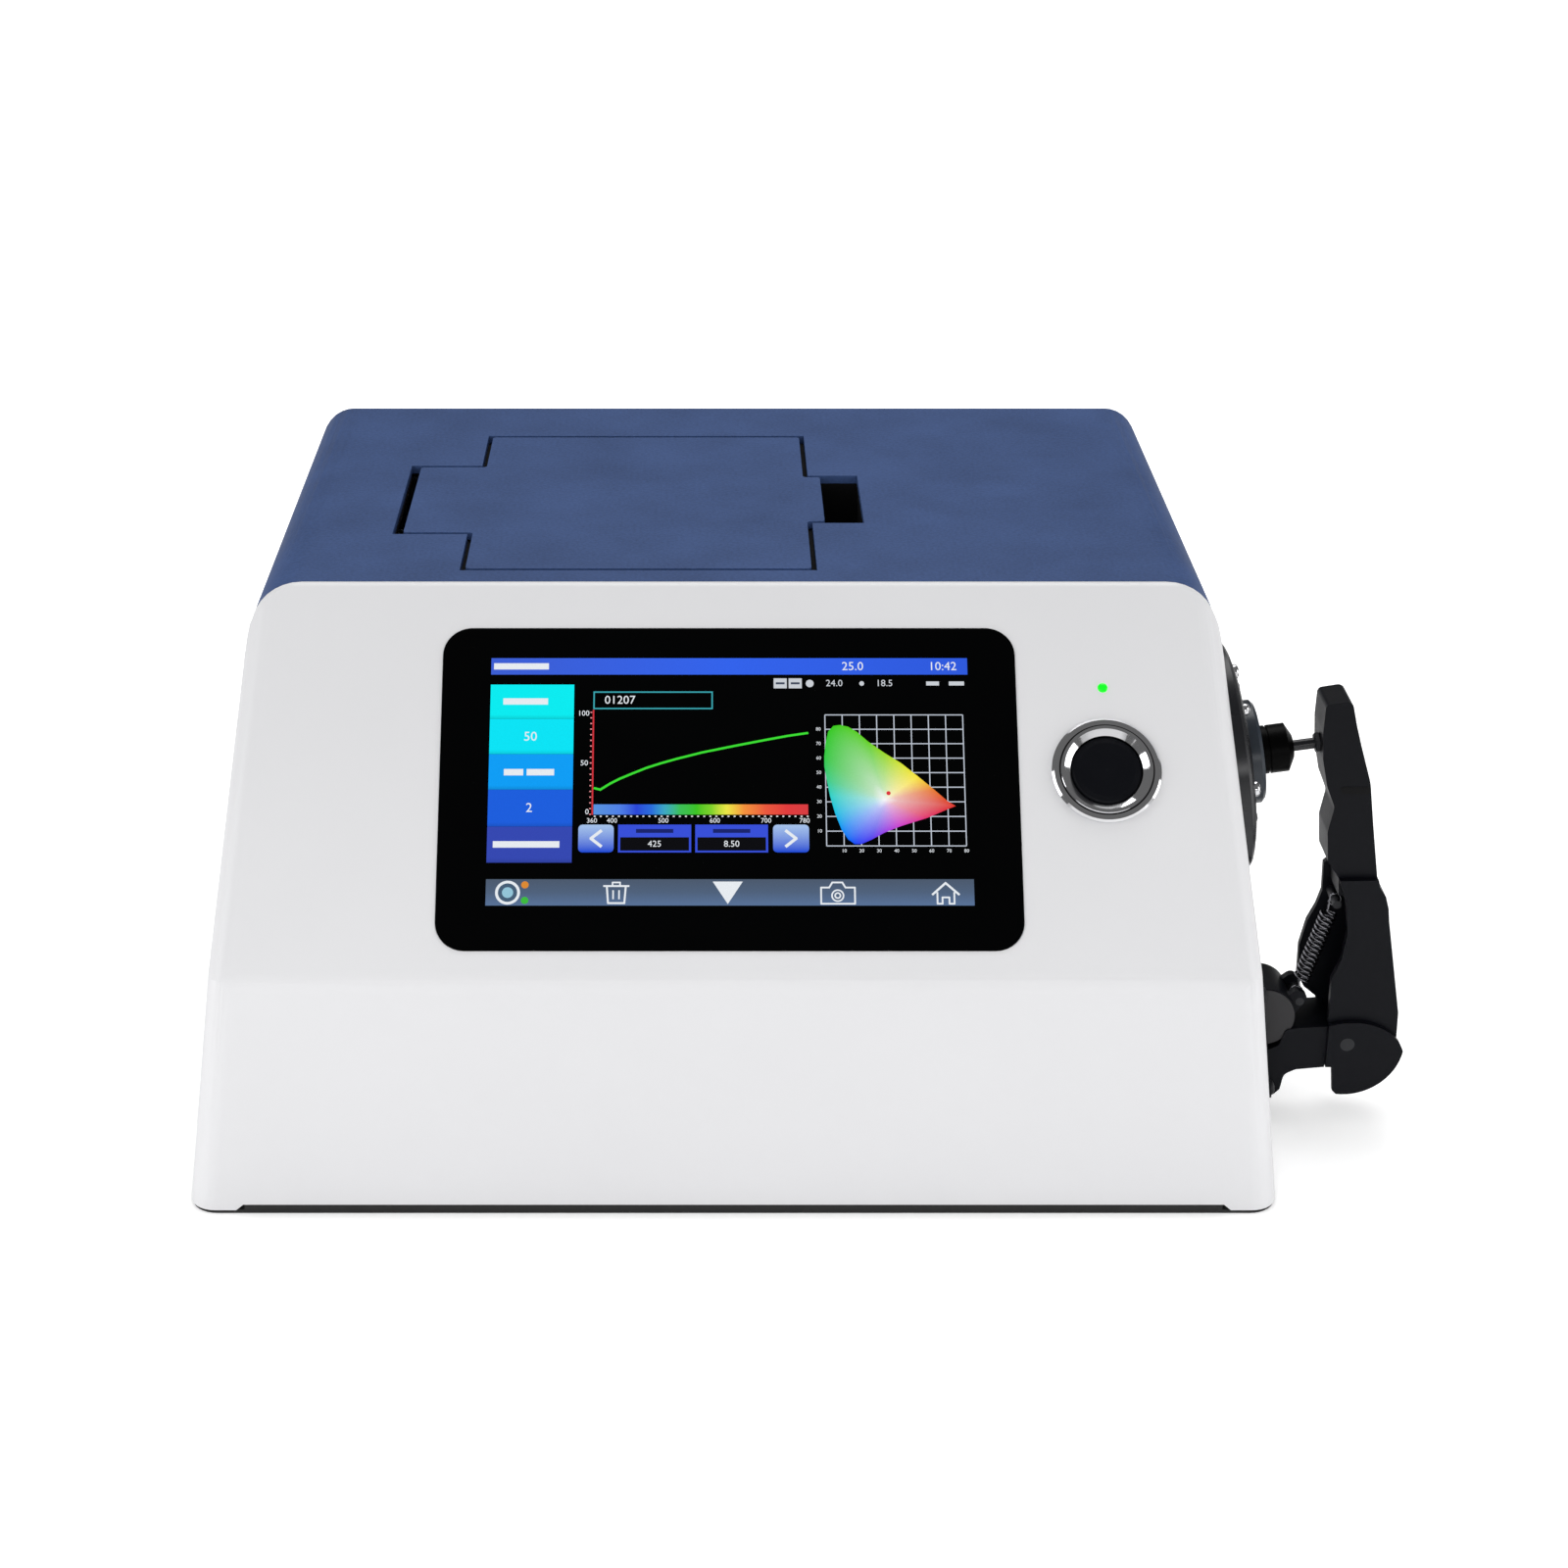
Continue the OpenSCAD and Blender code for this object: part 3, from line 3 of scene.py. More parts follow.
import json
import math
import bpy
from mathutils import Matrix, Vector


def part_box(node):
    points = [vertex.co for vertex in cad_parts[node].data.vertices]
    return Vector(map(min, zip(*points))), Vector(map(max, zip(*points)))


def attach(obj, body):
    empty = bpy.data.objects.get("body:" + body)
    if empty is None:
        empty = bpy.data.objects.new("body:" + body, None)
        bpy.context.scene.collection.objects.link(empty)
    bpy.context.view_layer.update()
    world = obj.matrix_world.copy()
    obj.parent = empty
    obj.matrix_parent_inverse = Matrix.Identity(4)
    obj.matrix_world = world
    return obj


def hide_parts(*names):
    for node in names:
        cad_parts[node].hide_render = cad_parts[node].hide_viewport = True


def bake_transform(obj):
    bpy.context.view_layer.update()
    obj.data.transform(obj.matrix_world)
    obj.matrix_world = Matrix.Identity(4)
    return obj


bl_info = {
    "name": "Benchtop colorimeter",
    "version": (1, 0, 0),
    "blender": (4, 5, 0),
    "location": "3D View > Sidebar > Colorimeter",
    "description": "Dresses the packed colorimeter with its fine pieces and finishes",
    "category": "Object",
}

import bmesh
import bpy
from bpy.props import FloatProperty, FloatVectorProperty, IntProperty, PointerProperty
from bpy.types import NodeSocket, Operator, Panel, PropertyGroup
from mathutils import Matrix, Vector
from mathutils.geometry import convex_hull_2d

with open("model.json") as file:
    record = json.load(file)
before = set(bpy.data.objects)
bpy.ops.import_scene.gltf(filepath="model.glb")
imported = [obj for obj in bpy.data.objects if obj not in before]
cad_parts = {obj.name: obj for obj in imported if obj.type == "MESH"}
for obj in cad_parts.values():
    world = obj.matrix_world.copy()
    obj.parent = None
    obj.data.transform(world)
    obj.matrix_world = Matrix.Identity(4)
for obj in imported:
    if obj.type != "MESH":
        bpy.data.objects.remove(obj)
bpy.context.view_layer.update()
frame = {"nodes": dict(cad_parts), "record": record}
NODES = frame["nodes"]
MM = 0.001

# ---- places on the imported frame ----

PANEL_TILT = math.radians(43.3)  # lean of the display panel from upright
SIDE_DRAFT = math.radians(8.25)  # lean of the side wall from upright
GLASS_FACE = 0.9 * MM  # from the middle of the display glass out to its face
BUTTON_AT = (122.2 * MM, 5.35 * MM)  # right and up the slope from the glass's middle
PORT_RING_OUT = 6.5 * MM  # from the side wall to the middle of the port's ring


def middle(node):
    """Centre of a CAD node's box at rest."""
    low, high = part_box(node)
    return (Vector(low) + Vector(high)) / 2


def panel_frame(above=0.0):
    """Places a drawing on the display panel: x right, y up the slope, z outwards.

    It lies this far above the middle of the display glass."""
    turn = Matrix.Rotation(math.pi / 2 - PANEL_TILT, 4, "X")
    return Matrix.Translation(middle("display_glass")) @ turn @ Matrix.Translation((0, 0, above))


def port_frame():
    """Places a drawing on the measuring port: z out along its axis, from the wall."""
    turn = Matrix.Rotation(math.pi / 2 - SIDE_DRAFT, 4, "Y")
    back = Matrix.Translation((0, 0, -PORT_RING_OUT))
    return Matrix.Translation(middle("port_ring")) @ turn @ back


def clamp_frame(forward):
    """Places a drawing on the clamp: x right, y up, z towards the front, from its pivot."""
    pivot = joint_place("clamp_pivot") - Vector((0, forward, 0))
    return Matrix.Translation(pivot) @ Matrix.Rotation(math.pi / 2, 4, "X")


def joint_place(name):
    """A hinge's place in the row frame."""
    joints = frame["record"]["behaviour"]["joints"]
    return Vector(next(j for j in joints if j["name"] == name)["pos_m"])


def slot_of(node):
    """The record's material slot of a CAD node."""
    return next(s["material_slot"] for s in frame["record"]["subparts"] if s["node"] == node)


def body_of(node):
    """The body that a CAD node rides on."""
    bodies = frame["record"]["behaviour"]["bodies"]
    return next(body for body, parts in bodies.items() if node in parts)


# ---- node materials ----


def fill(tree, node, inputs):
    """Sets a node's inputs, each to a value or to another node's socket."""
    for name, value in inputs.items():
        if isinstance(value, NodeSocket):
            tree.links.new(value, node.inputs[name])
        else:
            node.inputs[name].default_value = value
    return node


def add_node(tree, kind, inputs=None, **options):
    """Adds a node with its options and its inputs."""
    node = tree.nodes.new(kind)
    for name, value in options.items():
        setattr(node, name, value)
    return fill(tree, node, inputs or {})


def material(name):
    """A node material with one main shader, still plain."""
    mat = bpy.data.materials.new(name)
    mat.use_nodes = True
    tree = mat.node_tree
    tree.nodes.clear()
    shader = add_node(tree, "ShaderNodeBsdfPrincipled")
    add_node(tree, "ShaderNodeOutputMaterial", {"Surface": shader.outputs["BSDF"]})
    return mat, tree, shader


def object_space(tree, scale=(1, 1, 1), turn=(0, 0, 0), centre=(0, 0, 0)):
    """Object coordinates, moved to centre, turned and stretched for a pattern."""
    coords = add_node(tree, "ShaderNodeTexCoord")
    shift = add_node(tree, "ShaderNodeMapping", {
        "Location": [-c for c in centre], "Vector": coords.outputs["Object"]})
    place = add_node(tree, "ShaderNodeMapping", {
        "Rotation": turn, "Scale": scale, "Vector": shift.outputs["Vector"]})
    return place.outputs["Vector"]


def noise(tree, vector, scale, detail=3.0, roughness=0.55):
    """Fractal noise between 0 and 1."""
    node = add_node(tree, "ShaderNodeTexNoise", {
        "Vector": vector, "Scale": scale, "Detail": detail, "Roughness": roughness})
    return node.outputs["Fac"]


def stretched(tree, value, low, high, from_low=0.3, from_high=0.7):
    """Maps a value from one range to another; most noise lies between 0.3 and 0.7."""
    node = add_node(tree, "ShaderNodeMapRange", {
        "Value": value, "From Min": from_low, "From Max": from_high,
        "To Min": low, "To Max": high})
    return node.outputs["Result"]


def shade(colour, amount):
    """A lighter or darker version of a colour."""
    return tuple(min(max(c * amount, 0), 1) for c in colour)


def mottled(tree, factor, colour, darkest, lightest):
    """A colour that runs between a darker and a lighter shade of itself."""
    node = add_node(tree, "ShaderNodeMix", {
        "Factor": factor, "A": (*shade(colour, darkest), 1), "B": (*shade(colour, lightest), 1),
    }, data_type="RGBA")
    return node.outputs["Result"]


def raised(tree, height, distance):
    """A bump of a real height in metres, as a normal."""
    node = add_node(tree, "ShaderNodeBump", {"Height": height, "Distance": distance})
    return node.outputs["Normal"]


def grained(
    name, colour, spread, grain, depth, rough, metal=0.0, blotch=0.03, gloss=0.5, clouds=0.65,
):
    """A surface with a fine grain, uneven gloss and slow changes of shade.

    grain and blotch are the sizes of the fine and the slow pattern and depth the grain's
    height, in metres; spread is how far the shade changes and clouds the slow pattern's share."""
    mat, tree, shader = material(name)
    vector = object_space(tree)
    slow = noise(tree, vector, 1 / blotch, detail=4)
    fine = noise(tree, vector, 1 / grain, detail=2)
    both = add_node(tree, "ShaderNodeMath", {
        0: fine, 1: 1 - clouds, 2: stretched(tree, slow, 0, clouds)}, operation="MULTIPLY_ADD")
    fill(tree, shader, {
        "Base Color": mottled(tree, both.outputs["Value"], colour, 1 - spread, 1 + spread),
        "Roughness": stretched(tree, slow, *rough),
        "Metallic": metal,
        "Specular IOR Level": gloss,
        "Normal": raised(tree, fine, depth),
    })
    return mat


def brushed(name, colour, stretch, rough=(0.22, 0.38)):
    """Metal with fine parallel lines."""
    mat, tree, shader = material(name)
    lines = noise(tree, object_space(tree, stretch), 90, detail=6, roughness=0.7)
    slow = noise(tree, object_space(tree), 40)
    fill(tree, shader, {
        "Base Color": mottled(tree, lines, colour, 0.86, 1.1),
        "Roughness": stretched(tree, slow, *rough),
        "Metallic": 1,
        "Normal": raised(tree, lines, 0.000004),
    })
    return mat


def port_turned(name, colour, rough=(0.25, 0.4)):
    """A lathe-turned surface with fine rings round the measuring port's axis."""
    ring_step, wave_step = 0.0004, 0.314  # in metres; the wave texture's own step at scale 1
    mat, tree, shader = material(name)
    vector = object_space(
        tree, turn=(0, SIDE_DRAFT - math.pi / 2, 0), centre=port_frame().translation)
    rings = add_node(tree, "ShaderNodeTexWave", {
        "Vector": vector, "Scale": wave_step / ring_step, "Distortion": 0.6, "Detail": 2,
    }, wave_type="RINGS", rings_direction="Z")
    slow = noise(tree, vector, 60, detail=4)
    fill(tree, shader, {
        "Base Color": mottled(tree, slow, colour, 0.8, 1.25),
        "Roughness": stretched(tree, slow, *rough),
        "Normal": raised(tree, rings.outputs["Fac"], 0.000006),
    })
    return mat


def polished(name, colour):
    """Bright plating with faint wipe marks."""
    mat, tree, shader = material(name)
    marks = noise(tree, object_space(tree, (1, 6, 2)), 160, detail=5, roughness=0.7)
    fill(tree, shader, {
        "Base Color": mottled(tree, marks, colour, 0.94, 1.03),
        "Roughness": stretched(tree, marks, 0.04, 0.09),
        "Metallic": 1,
        "Normal": raised(tree, marks, 0.000001),
    })
    return mat


def glass_black(name, colour):
    """Black cover glass with faint smears."""
    mat, tree, shader = material(name)
    vector = object_space(tree, (1, 2.5, 1), (0.4, 0, 0.3))
    smear = noise(tree, vector, 14, detail=6, roughness=0.6)
    fill(tree, shader, {
        "Base Color": mottled(tree, smear, colour, 0.8, 1.5),
        "Roughness": stretched(tree, smear, 0.03, 0.10),
        "Specular IOR Level": 0.04,
    })
    return mat


def clear_glass(name, colour):
    """Polished lens glass."""
    mat, tree, shader = material(name)
    dust = noise(tree, object_space(tree), 300)
    fill(tree, shader, {
        "Base Color": mottled(tree, dust, colour, 0.96, 1),
        "Roughness": stretched(tree, dust, 0.02, 0.06),
        "Transmission Weight": 1,
        "IOR": 1.5,
    })
    return mat


def lit_screen(name):
    """The display's picture: it shines in the colours painted on its corners, behind gloss."""
    mat, tree, shader = material(name)
    paint = add_node(tree, "ShaderNodeVertexColor", layer_name="paint")
    dots = noise(tree, object_space(tree), 5000, detail=1)
    light = add_node(tree, "ShaderNodeVectorMath", {
        0: paint.outputs["Color"], "Scale": stretched(tree, dots, 0.9, 1.0)}, operation="SCALE")
    fill(tree, shader, {
        "Emission Color": light.outputs["Vector"],
        "Emission Strength": 1,
        "Base Color": (0.004, 0.004, 0.005, 1),
        "Roughness": 0.06,
        "Specular IOR Level": 0.04,
    })
    return mat


def lit_lens(name, colour):
    """A small lamp that glows unevenly."""
    mat, tree, shader = material(name)
    cells = mottled(tree, noise(tree, object_space(tree), 900, detail=2), colour, 0.9, 1)
    fill(tree, shader, {
        "Base Color": cells, "Emission Color": cells, "Emission Strength": 0.9, "Roughness": 0.2})
    return mat


def circuit(name, colour):
    """Solder mask with tracks and small pads."""
    mat, tree, shader = material(name)
    vector = object_space(tree)
    cells = add_node(tree, "ShaderNodeTexBrick", {
        "Vector": vector, "Scale": 110, "Mortar Size": 0.012,
        "Color1": (*shade(colour, 0.85), 1), "Color2": (*shade(colour, 1.1), 1),
        "Mortar": (*shade(colour, 1.9), 1)})
    fill(tree, shader, {
        "Base Color": cells.outputs["Color"],
        "Roughness": stretched(tree, noise(tree, vector, 800, detail=2), 0.25, 0.45),
        "Normal": raised(tree, cells.outputs["Fac"], 0.00003),
    })
    return mat


# ---- mesh helpers ----


def linked(name, data):
    """A new object in the scene."""
    obj = bpy.data.objects.new(name, data)
    bpy.context.scene.collection.objects.link(obj)
    return obj


def coat(mesh, mat):
    """Gives a mesh one finish."""
    mesh.materials.clear()
    mesh.materials.append(mat)


def add_object(name, mesh, mat, body):
    """Links a finished mesh as a piece that rides on a body."""
    piece = linked(name, mesh)
    coat(mesh, mat)
    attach(piece, body)
    return piece


def smoothed(mesh, degrees):
    """Shades a mesh smooth, except at edges sharper than the given angle."""
    mesh.shade_smooth()
    mesh.set_sharp_from_angle(angle=math.radians(degrees))
    return mesh


def mesh_from(bm, name, smooth=40):
    """Turns a bmesh into a mesh, smooth up to the given angle, or flat with 0."""
    mesh = bpy.data.meshes.new(name)
    bm.to_mesh(mesh)
    bm.free()
    return smoothed(mesh, smooth) if smooth else mesh


def add_solid(bm, name, mat, body):
    """Makes a closed bmesh a piece, with its faces pointing outwards."""
    bmesh.ops.recalc_face_normals(bm, faces=bm.faces)
    add_object(name, mesh_from(bm, name), mat, body)


def evaluated_mesh(obj, name):
    """The object's mesh with its modifiers applied; the object itself is dropped."""
    graph = bpy.context.evaluated_depsgraph_get()
    mesh = bpy.data.meshes.new_from_object(obj.evaluated_get(graph))
    mesh.name = name
    bpy.data.objects.remove(obj)
    return mesh


def soft_copy(node, width):
    """A merged copy of a CAD node with its long hard edges rounded, in place of the node."""
    same_place, flat, sharp, shortest = 2e-6, math.radians(0.4), math.radians(28), 0.9 * MM
    name = node + "_shell"
    bm = bmesh.new()
    bm.from_mesh(NODES[node].data)
    bmesh.ops.remove_doubles(bm, verts=bm.verts, dist=same_place)
    bmesh.ops.dissolve_limit(bm, angle_limit=flat, verts=bm.verts, edges=bm.edges)
    hard = [
        e for e in bm.edges
        if e.is_manifold and e.calc_face_angle(0) > sharp and e.calc_length() > shortest
    ]
    bmesh.ops.bevel(
        bm, geom=hard, offset=width, offset_type="OFFSET", segments=2, profile=0.5,
        affect="EDGES", clamp_overlap=True,
    )
    carrier = linked(name + "_work", mesh_from(bm, name, smooth=32))
    weigh = carrier.modifiers.new("even_shading", "WEIGHTED_NORMAL")
    weigh.keep_sharp = True
    weigh.weight = 90
    final = evaluated_mesh(carrier, name)
    piece = add_object(name, final, FINISH[slot_of(node)], body_of(node))
    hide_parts(node)


def lathe(bm, profile, place, sides=96):
    """Adds a closed turned ring: profile is a loop of (radius, height) points in mm."""
    rings = []
    for i in range(sides):
        a = 2 * math.pi * i / sides
        rings.append([
            bm.verts.new(place @ Vector((r * math.cos(a) * MM, r * math.sin(a) * MM, z * MM)))
            for r, z in profile
        ])
    for near, far in zip(rings, rings[1:] + rings[:1]):
        for k in range(len(profile)):
            j = (k + 1) % len(profile)
            bm.faces.new((near[k], far[k], far[j], near[j]))


def prism(bm, outline, low, high, place):
    """Adds a closed plate with the given outline between two heights, all in mm."""
    bottom, top = (
        [bm.verts.new(place @ Vector((x * MM, y * MM, z * MM))) for x, y in outline]
        for z in (low, high)
    )
    faces = [bm.faces.new(top), bm.faces.new(bottom[::-1])]
    n = len(outline)
    for i in range(n):
        j = (i + 1) % n
        faces.append(bm.faces.new((bottom[i], bottom[j], top[j], top[i])))
    return faces


# ---- geometry node trees ----


def node_group(name, sockets):
    """A Geometry Nodes tree with named inputs and a finish, and its start's sockets."""
    tree = bpy.data.node_groups.new(name, "GeometryNodeTree")
    add_socket = tree.interface.new_socket
    add_socket("Geometry", in_out="INPUT", socket_type="NodeSocketGeometry")
    for label, kind, default in sockets:
        add_socket(label, in_out="INPUT", socket_type=kind).default_value = default
    add_socket("Finish", in_out="INPUT", socket_type="NodeSocketMaterial")
    add_socket("Geometry", in_out="OUTPUT", socket_type="NodeSocketGeometry")
    return tree, add_node(tree, "NodeGroupInput").outputs


def end_group(tree, start, shape):
    """Ends a tree in real geometry that wears the finish."""
    real = add_node(tree, "GeometryNodeRealizeInstances", {"Geometry": shape})
    paint = add_node(tree, "GeometryNodeSetMaterial", {
        "Geometry": real.outputs["Geometry"], "Material": start["Finish"]})
    add_node(tree, "NodeGroupOutput", {"Geometry": paint.outputs["Geometry"]})
    return tree


def row_tree():
    """Bars in a row: their count, first place, step and size."""
    tree, start = node_group("bar_row", (
        ("Count", "NodeSocketInt", 5), ("First", "NodeSocketVector", (0, 0, 0)),
        ("Step", "NodeSocketVector", (MM, 0, 0)), ("Bar Size", "NodeSocketVector", (MM, MM, MM)),
    ))
    line = add_node(tree, "GeometryNodeMeshLine", {
        "Count": start["Count"], "Start Location": start["First"], "Offset": start["Step"]})
    bar = add_node(tree, "GeometryNodeMeshCube", {"Size": start["Bar Size"]})
    spread = add_node(tree, "GeometryNodeInstanceOnPoints", {
        "Points": line.outputs["Mesh"], "Instance": bar.outputs["Mesh"]})
    return end_group(tree, start, spread.outputs["Instances"])


def wire_tree():
    """A round wire along a path: its radius and number of sides."""
    tree, start = node_group("wire_on_path", (
        ("Wire Radius", "NodeSocketFloat", 0.5 * MM), ("Sides", "NodeSocketInt", 12)))
    profile = add_node(tree, "GeometryNodeCurvePrimitiveCircle", {
        "Radius": start["Wire Radius"], "Resolution": start["Sides"]})
    sweep = add_node(tree, "GeometryNodeCurveToMesh", {
        "Curve": start["Geometry"], "Profile Curve": profile.outputs["Curve"], "Fill Caps": True})
    return end_group(tree, start, sweep.outputs["Mesh"])


def grown(name, data, tree, values):
    """Runs a node tree on a mesh or curve and returns the plain mesh."""
    carrier = linked(name + "_work", data)
    modifier = carrier.modifiers.new("build", "NODES")
    modifier.node_group = tree
    ids = {s.name: s.identifier for s in tree.interface.items_tree if s.in_out == "INPUT"}
    for label, value in values.items():
        modifier[ids[label]] = value
    bpy.context.view_layer.update()
    return evaluated_mesh(carrier, name)


def bar_row(name, count, first, step, size, finish):
    """A row of equal bars made by the node tree; places and sizes in mm."""
    first, step, size = (tuple(v * MM for v in numbers) for numbers in (first, step, size))
    return grown(name, bpy.data.meshes.new(name + "_work"), row_tree(), {
        "Count": count, "First": first, "Step": step, "Bar Size": size, "Finish": finish})


def wire(name, points, radius, sides, finish):
    """A wire along points, made by the node tree."""
    curve = bpy.data.curves.new(name + "_path", "CURVE")
    curve.dimensions = "3D"
    spline = curve.splines.new("POLY")
    spline.points.add(len(points) - 1)
    for point, place in zip(spline.points, points):
        point.co = (*place, 1)
    mesh = grown(name, curve, wire_tree(), {
        "Wire Radius": radius, "Sides": sides, "Finish": finish})
    return smoothed(mesh, 50)


# ---- finishes by slot ----

FINISH = {}


def make_finishes(settings):
    """All finishes of the record's slots, by slot name.

    A grained one has its change of shade, grain size, grain height and range of roughness."""
    return {
        "white_case": grained(
            "case_white", settings.case_colour, 0.012, 0.0004, 0.000012, (0.36, 0.46),
            blotch=0.08, gloss=0.45),
        "blue_paint": grained(
            "cover_blue", settings.cover_colour, 0.4, 0.0012, 0.0001, (0.46, 0.54),
            gloss=0.12, clouds=0.25),
        "grey_metal": brushed("plate_grey", (0.55, 0.56, 0.58), (1, 60, 1)),
        "dark_metal": grained(
            "metal_dark", (0.016, 0.017, 0.02), 0.1, 0.0005, 0.00002, (0.45, 0.6), metal=0.2),
        "rubber": grained("foot_rubber", (0.02, 0.02, 0.02), 0.2, 0.0005, 0.00005, (0.75, 0.9)),
        "rubber_pad": grained(
            "pad_rubber", (0.001, 0.001, 0.001), 0.15, 0.0006, 0.00002, (0.3, 0.4), gloss=0.05),
        "steel": brushed("plated_steel", (0.62, 0.62, 0.64), (1, 30, 1), (0.18, 0.32)),
        "spring_steel": brushed("drawn_wire", (0.26, 0.26, 0.28), (1, 1, 40), (0.2, 0.3)),
        "chrome": polished("button_chrome", (0.84, 0.84, 0.86)),
        "black_glass": glass_black("cover_glass", (0.0008, 0.0009, 0.001)),
        "clear_glass": clear_glass("lens_glass", (0.92, 0.96, 1.0)),
        "green_lens": lit_lens("lamp_green", (0.0, 0.95, 0.01)),
        "circuit": circuit("solder_mask", (0.012, 0.09, 0.04)),
        "black_plastic": grained(
            "clamp_black", settings.clamp_colour, 0.12, 0.0005, 0.00003, (0.33, 0.45),
            blotch=0.02, gloss=0.13),
        "black_anodised": port_turned("port_black", (0.010, 0.0105, 0.013), (0.22, 0.34)),
        "matt_black": grained(
            "chamber_black", (0.006, 0.006, 0.0065), 0.3, 0.0005, 0.00005, (0.75, 0.9), gloss=0.2),
        "white_coating": grained(
            "sphere_white", (0.85, 0.85, 0.83), 0.01, 0.0004, 0.00003, (0.9, 0.96),
            blotch=0.05, gloss=0.1),
    }


# ---- settings ----


class ColorimeterSettings(PropertyGroup):
    """Sizes, colours and light of the dressed colorimeter."""

    case_colour: FloatVectorProperty(
        name="Case Colour", description="Moulded case colour", subtype="COLOR", size=3,
        default=(0.80, 0.80, 0.815), min=0, max=1,
    )
    cover_colour: FloatVectorProperty(
        name="Cover Colour", description="Painted top cover colour", subtype="COLOR", size=3,
        default=(0.048, 0.088, 0.219), min=0, max=1,
    )
    clamp_colour: FloatVectorProperty(
        name="Clamp Colour", description="Sample clamp colour", subtype="COLOR", size=3,
        default=(0.004, 0.0045, 0.0068), min=0, max=1,
    )
    edge_softness: FloatProperty(
        name="Edge Softness", description="Rounding on moulded edges", default=0.0009,
        min=0.0002, max=0.003, unit="LENGTH", precision=4,
    )
    coil_radius: FloatProperty(
        name="Coil Radius", description="Radius of the clamp spring's curls", default=0.0027,
        min=0.002, max=0.0032, unit="LENGTH", precision=4,
    )
    wire_radius: FloatProperty(
        name="Wire Radius", description="Radius of the spring wire", default=0.00042,
        min=0.0003, max=0.0006, unit="LENGTH", precision=5,
    )
    coil_turns: IntProperty(
        name="Coil Turns", description="Number of curls of the clamp spring", default=16,
        min=8, max=20,
    )
    backdrop: FloatProperty(
        name="Backdrop", description="Brightness of the white background", default=1.0,
        min=0.2, max=1,
    )
    front_light: FloatProperty(
        name="Front Light", description="Power of the soft light in front", default=2.2,
        min=0, max=60, unit="POWER",
    )
    top_light: FloatProperty(
        name="Top Light", description="Power of the soft light above", default=9.3,
        min=0, max=60, unit="POWER",
    )
    side_light: FloatProperty(
        name="Side Light", description="Power of the soft lights at both sides", default=5.0,
        min=0, max=60, unit="POWER",
    )
    floor_light: FloatProperty(
        name="Floor Light", description="Power of the light on the floor in front", default=0.2,
        min=0, max=60, unit="POWER",
    )


def look():
    """The current settings."""
    return bpy.context.scene.colorimeter


# ---- stage ----


